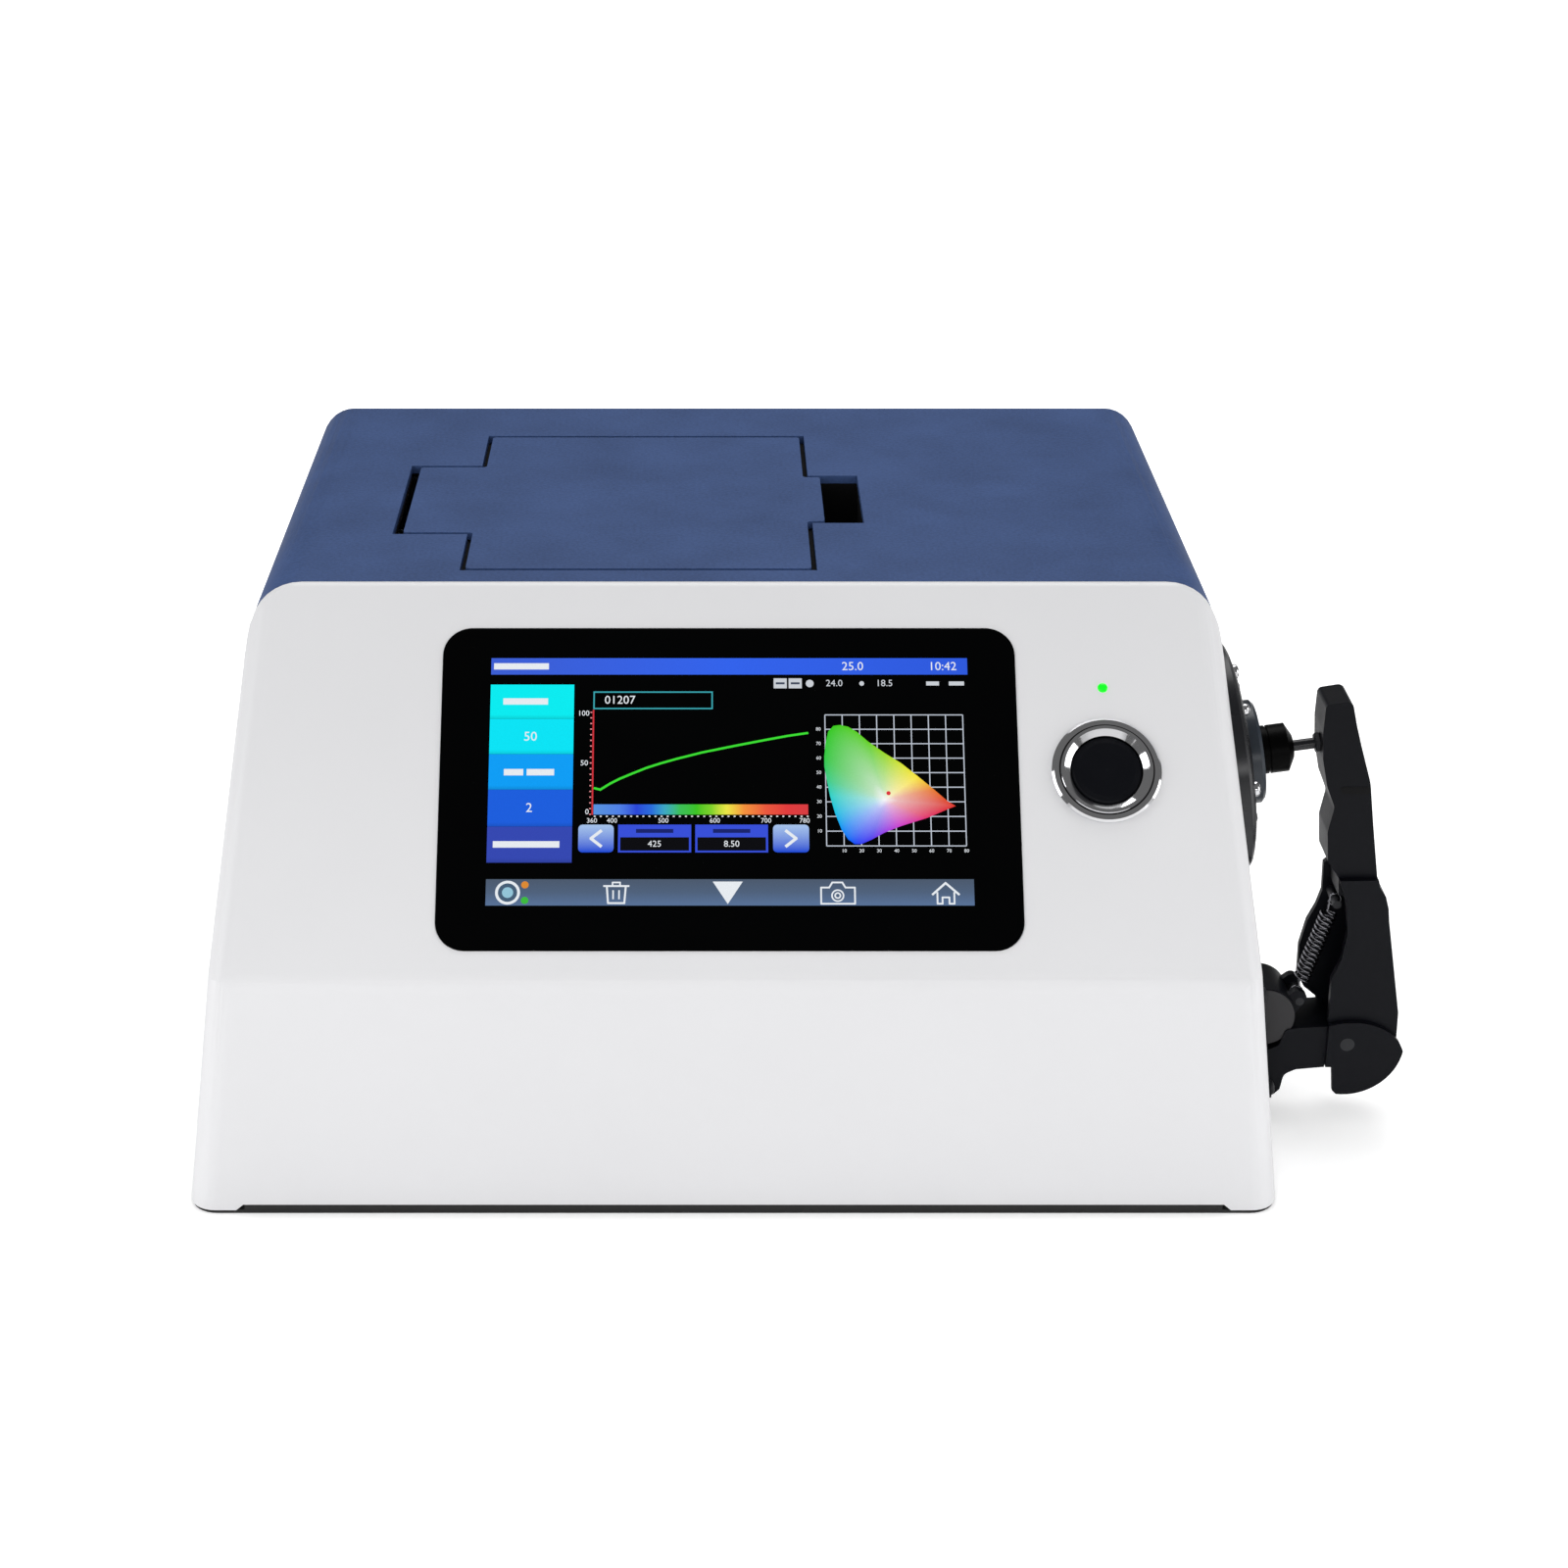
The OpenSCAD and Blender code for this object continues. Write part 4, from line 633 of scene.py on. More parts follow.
class COLORIMETER_OT_stage(Operator):
    """Sets up the camera, the lamps and the pale floor"""

    bl_idname = "colorimeter.stage"
    bl_label = "Stage"

    # name, place, aim, power setting, width, height, spread in degrees
    LAMPS = (
        ("light_front", (-0.7, -1.7, 0.75), (0, 0, 0.12), "front_light", 1.0, 1.0, 180),
        ("light_top", (0.1, 0.75, 1.5), (0, 0, 0.1), "top_light", 1.2, 0.9, 180),
        ("light_left", (-1.4, -0.5, 0.6), (-0.15, 0, 0.1), "side_light", 0.8, 0.8, 180),
        ("light_right", (1.4, -0.4, 0.5), (0.2, 0, 0.1), "side_light", 0.8, 0.8, 180),
        ("light_floor", (0, -0.80, 0.26), (0, -0.25, 0), "floor_light", 0.9, 0.1, 60),
    )
    WORLD_AS_LIGHT, WORLD_IN_GLOSS = 0.56, 0.14
    FLOOR_GLOW = (0.32, 0.55)  # added to the eye near the middle and away from it
    FLOOR_REACH = (0.18, 0.45)  # where that starts and ends, in metres from the middle
    PURE_WHITE = (1, 1, 1, 1)

    def execute(self, context):
        settings = look()
        context.scene.view_settings.view_transform = "Standard"
        self.camera(context.scene)
        self.backdrop(context.scene, settings.backdrop)
        self.floor()
        for name, place, aim, setting, *shape in self.LAMPS:
            self.lamp(name, place, aim, getattr(settings, setting), *shape)
        return {"FINISHED"}

    def camera(self, scene):
        """A long lens in front, looking down on the instrument."""
        cam = linked("camera", bpy.data.cameras.new("camera"))
        cam.location = (-0.0101, -0.9988, 0.5428)
        cam.rotation_euler = (math.radians(66), 0, 0)
        cam.data.lens = 68.48
        cam.data.sensor_width = 36
        cam.data.shift_x = 0.05125
        cam.data.clip_start = 0.05
        scene.camera = cam

    def lamp(self, name, place, aim, power, width, height, spread):
        """A soft lamp aimed at a point."""
        data = bpy.data.lights.new(name, "AREA")
        data.shape = "RECTANGLE"
        data.energy = power
        data.size = width
        data.size_y = height
        data.spread = math.radians(spread)
        obj = linked(name, data)
        obj.location = place
        obj.rotation_euler = (Vector(place) - Vector(aim)).to_track_quat("Z", "Y").to_euler()

    def backdrop(self, scene, strength):
        """A world that is white to the eye and through glass, and softer as a light."""
        scene.world = bpy.data.worlds.new("studio")
        scene.world.use_nodes = True
        tree = scene.world.node_tree
        tree.nodes.clear()
        path = add_node(tree, "ShaderNodeLightPath").outputs
        dim = add_node(tree, "ShaderNodeMath", {
            0: path["Is Glossy Ray"], 1: self.WORLD_IN_GLOSS - self.WORLD_AS_LIGHT,
            2: self.WORLD_AS_LIGHT}, operation="MULTIPLY_ADD")
        seen = add_node(tree, "ShaderNodeMath", {
            0: path["Is Camera Ray"], 1: path["Is Transmission Ray"]}, operation="MAXIMUM")
        glow = add_node(tree, "ShaderNodeBackground", {
            "Color": self.PURE_WHITE, "Strength": dim.outputs["Value"]})
        plain = add_node(tree, "ShaderNodeBackground", {
            "Color": self.PURE_WHITE, "Strength": strength})
        mix = add_node(tree, "ShaderNodeMixShader", {
            0: seen.outputs["Value"], 1: glow.outputs["Background"],
            2: plain.outputs["Background"]})
        add_node(tree, "ShaderNodeOutputWorld", {"Surface": mix.outputs["Shader"]})

    def floor(self):
        """A pale floor that keeps the object's shadow and fades to white away from it."""
        bm = bmesh.new()
        bmesh.ops.create_grid(bm, x_segments=1, y_segments=1, size=6)
        bmesh.ops.translate(bm, verts=bm.verts, vec=(0, 3, 0))
        mesh = mesh_from(bm, "floor", smooth=0)
        mat, tree, shader = material("floor_pale")
        slow = noise(tree, object_space(tree), 1.5, detail=2)
        path = add_node(tree, "ShaderNodeLightPath").outputs
        away = add_node(
            tree, "ShaderNodeVectorMath", {0: object_space(tree, (0.8, 1, 1))}, operation="LENGTH")
        glow = add_node(tree, "ShaderNodeMath", {
            0: path["Is Camera Ray"],
            1: stretched(tree, away.outputs["Value"], *self.FLOOR_GLOW, *self.FLOOR_REACH),
        }, operation="MULTIPLY")
        fill(tree, shader, {
            "Base Color": mottled(tree, slow, (1, 1, 1), 0.97, 1),
            "Roughness": 0.9,
            "Specular IOR Level": 0.05,
            "Emission Color": self.PURE_WHITE,
            "Emission Strength": glow.outputs["Value"],
        })
        coat(mesh, mat)
        linked("floor", mesh)


# ---- finishes and shells ----


class COLORIMETER_OT_finishes(Operator):
    """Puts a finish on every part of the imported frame"""

    bl_idname = "colorimeter.finishes"
    bl_label = "Finishes"

    def execute(self, context):
        FINISH.update(make_finishes(look()))
        for node, obj in NODES.items():
            coat(obj.data, FINISH[slot_of(node)])
        return {"FINISHED"}


class COLORIMETER_OT_shells(Operator):
    """Rounds the moulded edges of the case, the cover, the lid and the clamp"""

    bl_idname = "colorimeter.shells"
    bl_label = "Shells"

    # each node's share of the edge softness
    SHARES = {
        "housing": 1.0, "top_cover": 0.8, "lid_plate": 0.8, "rear_panel": 0.5,
        "clamp_arm": 1.2, "clamp_hood": 1.0,
    }

    def execute(self, context):
        for node, share in self.SHARES.items():
            soft_copy(node, look().edge_softness * share)
        return {"FINISHED"}


# ---- the display's picture ----


def linear(red, green, blue):
    """A screen colour from 0 to 255 as linear light."""
    out = []
    for value in (red, green, blue):
        v = value / 255
        out.append(v / 12.92 if v <= 0.04045 else ((v + 0.055) / 1.055) ** 2.4)
    return tuple(out)


def box_outline(left, top, right, bottom):
    """Corners of an upright rectangle, anticlockwise, in mm."""
    return [(left, bottom), (right, bottom), (right, top), (left, top)]


def rounded_outline(left, top, right, bottom, radius):
    """Corners of a rectangle with rounded corners, anticlockwise."""
    out, steps = [], 4
    for cx, cy, start in (
        (right - radius, bottom + radius, -90), (right - radius, top - radius, 0),
        (left + radius, top - radius, 90), (left + radius, bottom + radius, 180),
    ):
        for k in range(steps + 1):
            a = math.radians(start + 90 * k / steps)
            out.append((cx + radius * math.cos(a), cy + radius * math.sin(a)))
    return out


def circle_outline(x, y, radius, steps=20):
    """Corners of a round spot."""
    angles = [2 * math.pi * k / steps for k in range(steps)]
    return [(x + radius * math.cos(a), y + radius * math.sin(a)) for a in angles]


class Picture:
    """Gathers painted thin plates for the display, in mm from the middle of the glass."""

    BASE, STEP, THICK = 0.06, 0.03, 0.02  # first layer's height, step between layers, a plate
    CORE_FADE = 0.45  # below 1, a fan's middle gives way sooner to its rim
    OVERLAP, RISE = 0.3, 0.3  # a stroke's plates, in shares of its width and of a layer's step
    DIGIT_SIZE = 1.35  # text size for a digit height of 1
    FAN_LAYER, FAN_RINGS, DIGIT_LAYER = 1, 5, 3

    def __init__(self, place):
        self.place = place
        self.bm = bmesh.new()
        self.paint = self.bm.loops.layers.float_color.new("paint")

    def heights(self, layer):
        """Bottom and top of a layer."""
        low = self.BASE + layer * self.STEP
        return low, low + self.THICK

    def corner(self, x, y, z):
        """A new corner at a place over the glass."""
        return self.bm.verts.new(self.place @ Vector((x * MM, y * MM, z * MM)))

    def colour_faces(self, faces, colour):
        """Paints faces with one colour or with a function of the place."""
        back = self.place.inverted()
        for face in faces:
            for loop in face.loops:
                value = colour
                if callable(colour):
                    spot = back @ loop.vert.co
                    value = colour(spot.x / MM, spot.y / MM)
                loop[self.paint] = (*value, 1)

    def plate(self, outline, colour, layer=0):
        """A painted plate."""
        self.colour_faces(prism(self.bm, outline, *self.heights(layer), self.place), colour)

    def box(self, left, top, right, bottom, colour, layer=0):
        """A painted rectangle."""
        self.plate(box_outline(left, top, right, bottom), colour, layer)

    def ramp(self, left, top, right, bottom, stops, upright=False):
        """A rectangle whose colour runs through the stops, to the right or downwards."""
        for (a, colour_a), (b, colour_b) in zip(stops, stops[1:]):
            if upright:
                start, end = (top + (bottom - top) * share for share in (a, b))
                outline = box_outline(left, start, right, end)
            else:
                start, end = (left + (right - left) * share for share in (a, b))
                outline = box_outline(start, top, end, bottom)
            self.plate(outline, self.between(colour_a, colour_b, start, end, not upright))

    @staticmethod
    def between(colour_a, colour_b, start, end, across):
        """A colour that runs from one place to another."""
        def at(x, y):
            t = min(max(((x if across else y) - start) / (end - start), 0), 1)
            return tuple(a + (b - a) * t for a, b in zip(colour_a, colour_b))
        return at

    def border(self, left, top, right, bottom, width, colour):
        """A thin outline of a rectangle, one layer up."""
        for sides in (
            (left, top, right, top - width), (left, bottom + width, right, bottom),
            (left, top - width, left + width, bottom + width),
            (right - width, top - width, right, bottom + width),
        ):
            self.box(*sides, colour, 1)

    def stroke(self, points, width, colour, layer=2):
        """A line of short plates through points, every second one a little higher."""
        for k, ((x0, y0), (x1, y1)) in enumerate(zip(points, points[1:])):
            length = math.hypot(x1 - x0, y1 - y0)
            across, along = width / 2 / length, width * self.OVERLAP / length
            nx, ny = -(y1 - y0) * across, (x1 - x0) * across
            ex, ey = (x1 - x0) * along, (y1 - y0) * along
            outline = [
                (x0 - ex - nx, y0 - ey - ny), (x1 + ex - nx, y1 + ey - ny),
                (x1 + ex + nx, y1 + ey + ny), (x0 - ex + nx, y0 - ey + ny),
            ]
            self.plate(outline, colour, layer + (k % 2) * self.RISE)

    def fan(self, outline, centre, rim, core):
        """A shape whose colour runs from its centre to the colours on its rim."""
        low, high = self.heights(self.FAN_LAYER)
        cx, cy = centre
        middle_corner = self.corner(cx, cy, high)
        shades = {middle_corner: core}
        level = []
        for r in range(1, self.FAN_RINGS + 1):
            t = r / self.FAN_RINGS
            level.append([
                self.corner(cx + (x - cx) * t, cy + (y - cy) * t, high) for x, y in outline])
            t = t ** self.CORE_FADE
            for vert, colour in zip(level[-1], rim):
                shades[vert] = tuple(c + (k - c) * t for c, k in zip(core, colour))
        level.append([self.corner(x, y, low) for x, y in outline])
        shades.update(zip(level[-1], rim))
        faces = []
        for i in range(len(outline)):
            j = (i + 1) % len(outline)
            faces.append(self.bm.faces.new((middle_corner, level[0][i], level[0][j])))
            for near, far in zip(level, level[1:]):
                faces.append(self.bm.faces.new((near[i], far[i], far[j], near[j])))
        faces.append(self.bm.faces.new(level[-1][::-1]))
        for face in faces:
            for loop in face.loops:
                loop[self.paint] = (*shades[loop.vert], 1)

    def digits(self, text, x, y, height, colour):
        """Plain numbers, centred on a place."""
        curve = bpy.data.curves.new("digits", "FONT")
        curve.body = text
        curve.size = height * self.DIGIT_SIZE * MM
        curve.align_x = "CENTER"
        curve.align_y = "CENTER"
        curve.resolution_u = 3
        curve.extrude = self.THICK / 2 * MM
        carrier = linked("digits_work", curve)
        bpy.context.view_layer.update()
        mesh = evaluated_mesh(carrier, "digits")
        z = sum(self.heights(self.DIGIT_LAYER)) / 2
        mesh.transform(self.place @ Matrix.Translation((x * MM, y * MM, z * MM)))
        before = len(self.bm.faces)
        self.bm.from_mesh(mesh)
        self.bm.faces.ensure_lookup_table()
        self.colour_faces(self.bm.faces[before:], colour)
        bpy.data.meshes.remove(mesh)


WHITE = linear(235, 240, 245)  # the screen's own white


def rim_colours(outline, centre):
    """Colour of each rim point of the colour chart, by its direction from the white point."""
    # direction in degrees, then the colour
    table = (
        (-180, 40, 215, 220), (-160, 10, 190, 235), (-145, 0, 150, 250), (-122, 0, 60, 250),
        (-105, 90, 60, 240), (-80, 190, 70, 230), (-50, 220, 60, 190), (-25, 230, 50, 110),
        (-6, 225, 50, 40), (10, 235, 110, 45), (36, 255, 235, 60), (75, 200, 230, 45),
        (100, 110, 215, 30), (125, 50, 205, 20), (145, 50, 205, 70), (165, 60, 210, 150),
        (180, 40, 215, 220),
    )
    stops = [(at, linear(*colour)) for at, *colour in table]
    out = []
    for x, y in outline:
        a = math.degrees(math.atan2(y - centre[1], x - centre[0]))
        for (a0, c0), (a1, c1) in zip(stops, stops[1:]):
            if a0 <= a <= a1:
                t = (a - a0) / (a1 - a0)
                out.append(tuple(p + (q - p) * t for p, q in zip(c0, c1)))
                break
    return out


class COLORIMETER_OT_picture(Operator):
    """Lays the measuring screen on the display glass"""

    bl_idname = "colorimeter.picture"
    bl_label = "Screen Picture"

    # the colour field's grid: its left and lower edge and its steps across and up, in mm
    GRID_LEFT, GRID_FOOT, GRID_ACROSS, GRID_UP = 31.2, -20.3, 5.6125, 4.99

    def execute(self, context):
        finish = lit_screen("screen_light")
        art = Picture(panel_frame(GLASS_FACE))
        for draw in (self.bars, self.chart, self.values, self.colour_space, self.icons):
            draw(art)
        mesh = mesh_from(art.bm, "screen_picture", smooth=0)
        add_object("screen_picture", mesh, finish, "case")
        self.ticks(art.place, finish)
        return {"FINISHED"}

    def bars(self, art):
        """Title bar, side menu and bottom bar with blank labels and plain numbers."""
        art.ramp(-77.9, 44.5, 78.1, 38.7, [
            (0, linear(60, 95, 215)), (0.5, linear(50, 100, 240)), (1, linear(45, 90, 225))])
        art.box(-77, 42.7, -59, 40.5, WHITE, 1)
        art.digits("25.0", 40.5, 41.5, 3.1, WHITE)
        art.digits("10:42", 70, 41.5, 3.1, WHITE)
        shades = ((0, 240, 245), (0, 232, 250), (5, 160, 250), (25, 95, 225), (52, 72, 180))
        edges = (35.2, 23.2, 11, -1.2, -13.8, -26)
        for top, bottom, colour in zip(edges, edges[1:], shades):
            full = linear(*colour)
            art.ramp(-77.9, top, -50.6, bottom + 0.05, [
                (0, full), (0.88, full), (1, shade(full, 0.75))], upright=True)
        for left, right, y in (
            (-73.7, -59.1, 29.3), (-73, -66.7, 4.8), (-65.6, -56.7, 4.8), (-76, -54.6, -19.8),
        ):
            art.box(left, y + 1.1, right, y - 1.1, WHITE, 1)
        art.digits("50", -64.6, 17, 3.3, WHITE)
        art.digits("2", -64.6, -7.5, 3.3, WHITE)
        art.ramp(-77.9, -31.5, 78.1, -40.3, [
            (0, linear(76, 90, 110)), (0.5, linear(80, 99, 126)), (1, linear(90, 116, 155)),
        ], upright=True)

    def chart(self, art):
        """Reflectance curve with its axes and the strip of colours."""
        art.border(-44.3, 32.8, -5.3, 26.6, 0.45, linear(60, 170, 180))
        art.digits("01207", -35.6, 29.7, 3.0, WHITE)
        art.box(-44.45, 26.4, -43.95, -9.8, linear(215, 50, 60), 1)
        for text, x, y in (("100", -47.4, 25.1), ("50", -47, 7.9), ("0", -45.9, -8.8)):
            art.digits(text, x, y, 1.9, WHITE)
        art.stroke([
            (-43.6, -0.7), (-41.7, -1.2), (-38.5, 0.9), (-35.5, 2.5), (-31, 4.5), (-27, 6.2),
            (-22, 7.9), (-17.3, 9.3), (-8.7, 11.6), (2, 13.9), (12.8, 16.1), (19, 17.3),
            (25.5, 18.3),
        ], 0.75, linear(60, 225, 50))
        stops = (
            (0, 90, 150, 225), (0.12, 80, 130, 235), (0.2, 40, 70, 220), (0.27, 40, 110, 225),
            (0.33, 60, 170, 200), (0.4, 60, 195, 90), (0.48, 60, 200, 30), (0.55, 130, 215, 40),
            (0.62, 240, 235, 70), (0.7, 250, 150, 60), (0.8, 240, 90, 60), (0.9, 230, 60, 60),
            (1, 220, 60, 65),
        )
        art.ramp(-43.8, -6.2, 25.4, -9.7, [(at, linear(*colour)) for at, *colour in stops])
        for text, x in (
            ("360", -44.3), ("400", -37.8), ("500", -21.3), ("600", -4.7), ("700", 11.8),
            ("780", 24.2),
        ):
            art.digits(text, x, -11.8, 1.7, WHITE)

    def values(self, art):
        """Arrow keys and boxes with one plain reading each."""
        unlit = (0.0005, 0.0005, 0.001)
        for left, right, sign in ((-48.6, -37.2, 1), (14, 25.6, -1)):
            art.plate(rounded_outline(left, -13.1, right, -22.5, 1.4), art.between(
                linear(170, 200, 240), linear(15, 70, 215), -13.1, -22.5, False))
            tail, tip = (left + right) / 2 + sign * 1.6, (left + right) / 2 - sign * 1.6
            art.stroke([(tail, -15.2), (tip, -17.8), (tail, -20.4)], 1, WHITE, 1)
        for left, right, text in ((-35.8, -12.3, "425"), (-11, 12.4, "8.50")):
            x = (left + right) / 2
            art.box(left, -13.1, right, -22.5, linear(55, 80, 220))
            art.box(x - 6, -14.6, x + 6, -15.9, linear(22, 34, 110), 1)
            art.box(left + 0.7, -17.4, right - 0.7, -21.9, unlit, 1)
            art.digits(text, x, -19.7, 2.2, WHITE)

    def colour_space(self, art):
        """Numbers round the grid, the colour field and the marks above it."""
        outline = [
            (30.8, 10.2), (31.3, 14.8), (32.2, 18.8), (33.9, 20.8), (36, 21.1), (38.7, 20.5),
            (41.4, 18.8), (45.1, 15.4), (50.4, 11.4), (55.7, 7.9), (61, 3.4), (66.2, -1.2),
            (70.4, -5.1), (73, -6.8), (70.3, -7.9), (63.8, -10.8), (55.2, -13.6), (49.9, -15.8),
            (45.5, -18.3), (42.3, -19.7), (40.2, -19.7), (38.1, -18.1), (36, -14.7), (34, -9.1),
            (32.5, -3.4), (31.5, 2.2), (30.8, 6.8),
        ][::-1]
        centre = (50.2, -4.6)
        art.fan(outline, centre, rim_colours(outline, centre), linear(252, 252, 252))
        art.plate(circle_outline(51.4, -2.4, 0.7), linear(225, 50, 60), 2)
        for k in range(1, 9):
            art.digits(str(k * 10), self.GRID_LEFT + self.GRID_ACROSS * k, -22, 1.2, WHITE)
            art.digits(str(k * 10), 29, self.GRID_FOOT + self.GRID_UP * k, 1.2, WHITE)
        pale = linear(205, 210, 216)
        for left in (14.6, 19.5):
            art.box(left, 37.4, left + 4.3, 33.9, pale)
            art.box(left + 0.7, 36, left + 3.6, 35.3, linear(60, 70, 90), 1)
        art.plate(circle_outline(26.4, 35.6, 1.3), pale)
        art.plate(circle_outline(43.4, 35.6, 0.8), pale)
        art.digits("24.0", 34.4, 35.6, 2.4, pale)
        art.digits("18.5", 50.8, 35.6, 2.4, pale)
        for x, wide in ((66.6, 4.2), (74.4, 5)):
            art.box(x - wide / 2, 36.3, x + wide / 2, 34.9, pale)

    def icons(self, art):
        """Simple outlined signs on the bottom bar."""
        bar = linear(80, 99, 126)
        art.plate(circle_outline(-70.9, -36, 4, 28), WHITE, 1)
        art.plate(circle_outline(-70.9, -36, 3.1, 24), linear(70, 95, 120), 2)
        art.plate(circle_outline(-70.9, -36, 1.8), linear(150, 200, 220), 3)
        art.plate(circle_outline(-65.4, -33.4, 1.2), linear(225, 140, 50), 1)
        art.plate(circle_outline(-65.4, -38.6, 1.2), linear(60, 190, 60), 1)
        art.stroke([(-39.2, -34.3), (-38.8, -39.5), (-33.6, -39.5), (-33.2, -34.3)], 0.6, WHITE, 1)
        art.stroke([(-40.2, -33.8), (-32.2, -33.8)], 0.6, WHITE, 1)
        art.stroke([(-37.4, -33.4), (-37.4, -32.6), (-35, -32.6), (-35, -33.4)], 0.5, WHITE, 1)
        for x in (-37.2, -35.3):
            art.box(x - 0.25, -35.2, x + 0.25, -38.2, WHITE, 1)
        art.plate([(-0.6, -39.8), (4.2, -32.3), (-5.4, -32.3)], WHITE, 1)
        art.stroke([
            (29.2, -34.3), (31.8, -34.3), (32.8, -32.6), (36, -32.6), (37, -34.3), (40, -34.3),
            (40, -39.7), (29.2, -39.7), (29.2, -34.3)], 0.55, WHITE, 1)
        lens = ((2.1, WHITE), (1.6, bar), (1.1, WHITE), (0.6, bar))
        for layer, (radius, colour) in enumerate(lens, 1):
            art.plate(circle_outline(34.5, -37, radius), colour, layer)
        art.stroke([(64.8, -36.6), (69, -32.8), (73.2, -36.6)], 0.7, WHITE, 1)
        art.stroke([
            (66.3, -36), (66.3, -39.7), (67.9, -39.7), (67.9, -37.6), (70.1, -37.6), (70.1, -39.7),
            (71.7, -39.7), (71.7, -36)], 0.55, WHITE, 2)

    def ticks(self, place, finish):
        """Rows of tick marks and the grid of the colour field."""
        pale_red, pale, grey = linear(230, 150, 155), linear(235, 235, 235), linear(196, 204, 216)
        left, foot, across, up = self.GRID_LEFT, self.GRID_FOOT, self.GRID_ACROSS, self.GRID_UP
        # the middle of the first bar, the step to the next, and a bar's size
        for name, count, first, step, size, colour in (
            ("axis_ticks", 19, (-44.9, -9.6, 0.14), (0, 1.95, 0), (0.6, 0.4, 0.02), pale_red),
            ("strip_ticks", 36, (-43.4, -10.3, 0.14), (1.96, 0, 0), (0.6, 0.45, 0.02), pale),
            ("grid_upright", 9, (left, 2.15, 0.065), (across, 0, 0), (0.34, 44.9, 0.02), grey),
            ("grid_level", 10, (53.65, foot, 0.075), (0, up, 0), (44.9, 0.34, 0.018), grey),
        ):
            mesh = bar_row(name, count, first, step, size, finish)
            mesh.transform(place)
            paint = mesh.attributes.new("paint", "FLOAT_COLOR", "CORNER")
            paint.data.foreach_set("color", [*colour, 1] * len(mesh.loops))
            add_object(name, mesh, finish, "case")


# ---- small pieces ----


class COLORIMETER_OT_button_seam(Operator):
    """Adds the fine dark seam round the power button's ring"""

    bl_idname = "colorimeter.button_seam"
    bl_label = "Button Seam"

    # radius and height of the seam's corners, in mm
    PROFILE = ((15.1, 2.0), (15.5, 2.0), (15.5, 2.18), (15.1, 2.18))

    def execute(self, context):
        bm = bmesh.new()
        lathe(bm, self.PROFILE, panel_frame() @ Matrix.Translation((*BUTTON_AT, 0)))
        add_solid(bm, "button_seam", FINISH["matt_black"], "case")
        return {"FINISHED"}


class COLORIMETER_OT_painted_shadow_strip(Operator):
    """Adds a dark strip under the case as painted shadow, where there is only shade in the gap
    under the case
    """

    bl_idname = "colorimeter.base_rim"
    bl_label = "Base Rim"

    # all in mm
    OUTER_INSET, INNER_INSET, BAR_DEPTH = 0.5, 4.5, 4
    ABOVE_TABLE, UNDER_CASE, BESIDE_CASE = 0.1, 0.1, 0.2
    SAME_HEIGHT = 0.05

    def execute(self, context):
        foot, shelf = (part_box(node)[0][2] / MM for node in ("housing", "base_plate"))
        corners = [v.co / MM for v in NODES["housing"].data.vertices]
        low = [Vector((v.x, v.y)) for v in corners if v.z < foot + self.SAME_HEIGHT]
        outline = [low[i] for i in convex_hull_2d(low)]
        outer, inner = (self.drawn_in(outline, by) for by in (self.OUTER_INSET, self.INNER_INSET))
        bm = bmesh.new()
        self.closed_ring(bm, outer, inner, self.ABOVE_TABLE, foot - self.UNDER_CASE)
        on_shelf = [v.x for v in corners if abs(v.z - shelf) < self.SAME_HEIGHT]
        side = max(on_shelf) - self.BESIDE_CASE
        front, back = min(v.y for v in outer), max(v.y for v in outer)
        for edge in (front, back - self.BAR_DEPTH):
            bar = box_outline(-side, edge + self.BAR_DEPTH, side, edge)
            prism(bm, bar, foot - 2 * self.UNDER_CASE, shelf - self.UNDER_CASE, Matrix())
        # painted shadow: this dark rubber-finished strip stands in for the shade under the case
        add_solid(bm, "base_rim", FINISH["rubber"], "case")
        return {"FINISHED"}

    def drawn_in(self, outline, amount):
        """The outline drawn in towards the middle."""
        wide, deep = max(p.x for p in outline), max(p.y for p in outline)
        return [Vector((p.x * (1 - amount / wide), p.y * (1 - amount / deep))) for p in outline]

    def closed_ring(self, bm, outer, inner, low, high):
        """A closed frame between two outlines and two heights."""
        rows = [
            [bm.verts.new((p.x * MM, p.y * MM, z * MM)) for p in points]
            for points, z in ((outer, low), (outer, high), (inner, high), (inner, low))
        ]
        for i in range(len(outer)):
            j = (i + 1) % len(outer)
            for near, far in zip(rows, rows[1:] + rows[:1]):
                bm.faces.new((near[i], near[j], far[j], far[i]))


class COLORIMETER_OT_port_details(Operator):
    """Adds a turned lip to the measuring port and gives its ring a blue-grey finish"""

    bl_idname = "colorimeter.port_details"
    bl_label = "Port Details"

    # how far in from the flange's edge, and height above the wall, in mm
    LIP = ((3.4, 2.9), (2.6, 2.7), (2.2, 3.1), (2.6, 3.45), (3.4, 3.5))

    def execute(self, context):
        low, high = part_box("port_flange")
        radius = (high[1] - low[1]) / 2 / MM
        bm = bmesh.new()
        lathe(bm, [(radius - inwards, height) for inwards, height in self.LIP], port_frame())
        add_solid(bm, "port_lip", FINISH["black_anodised"], "case")
        coat(NODES["port_ring"].data, port_turned("ring_blue_grey", (0.022, 0.03, 0.042)))
        return {"FINISHED"}


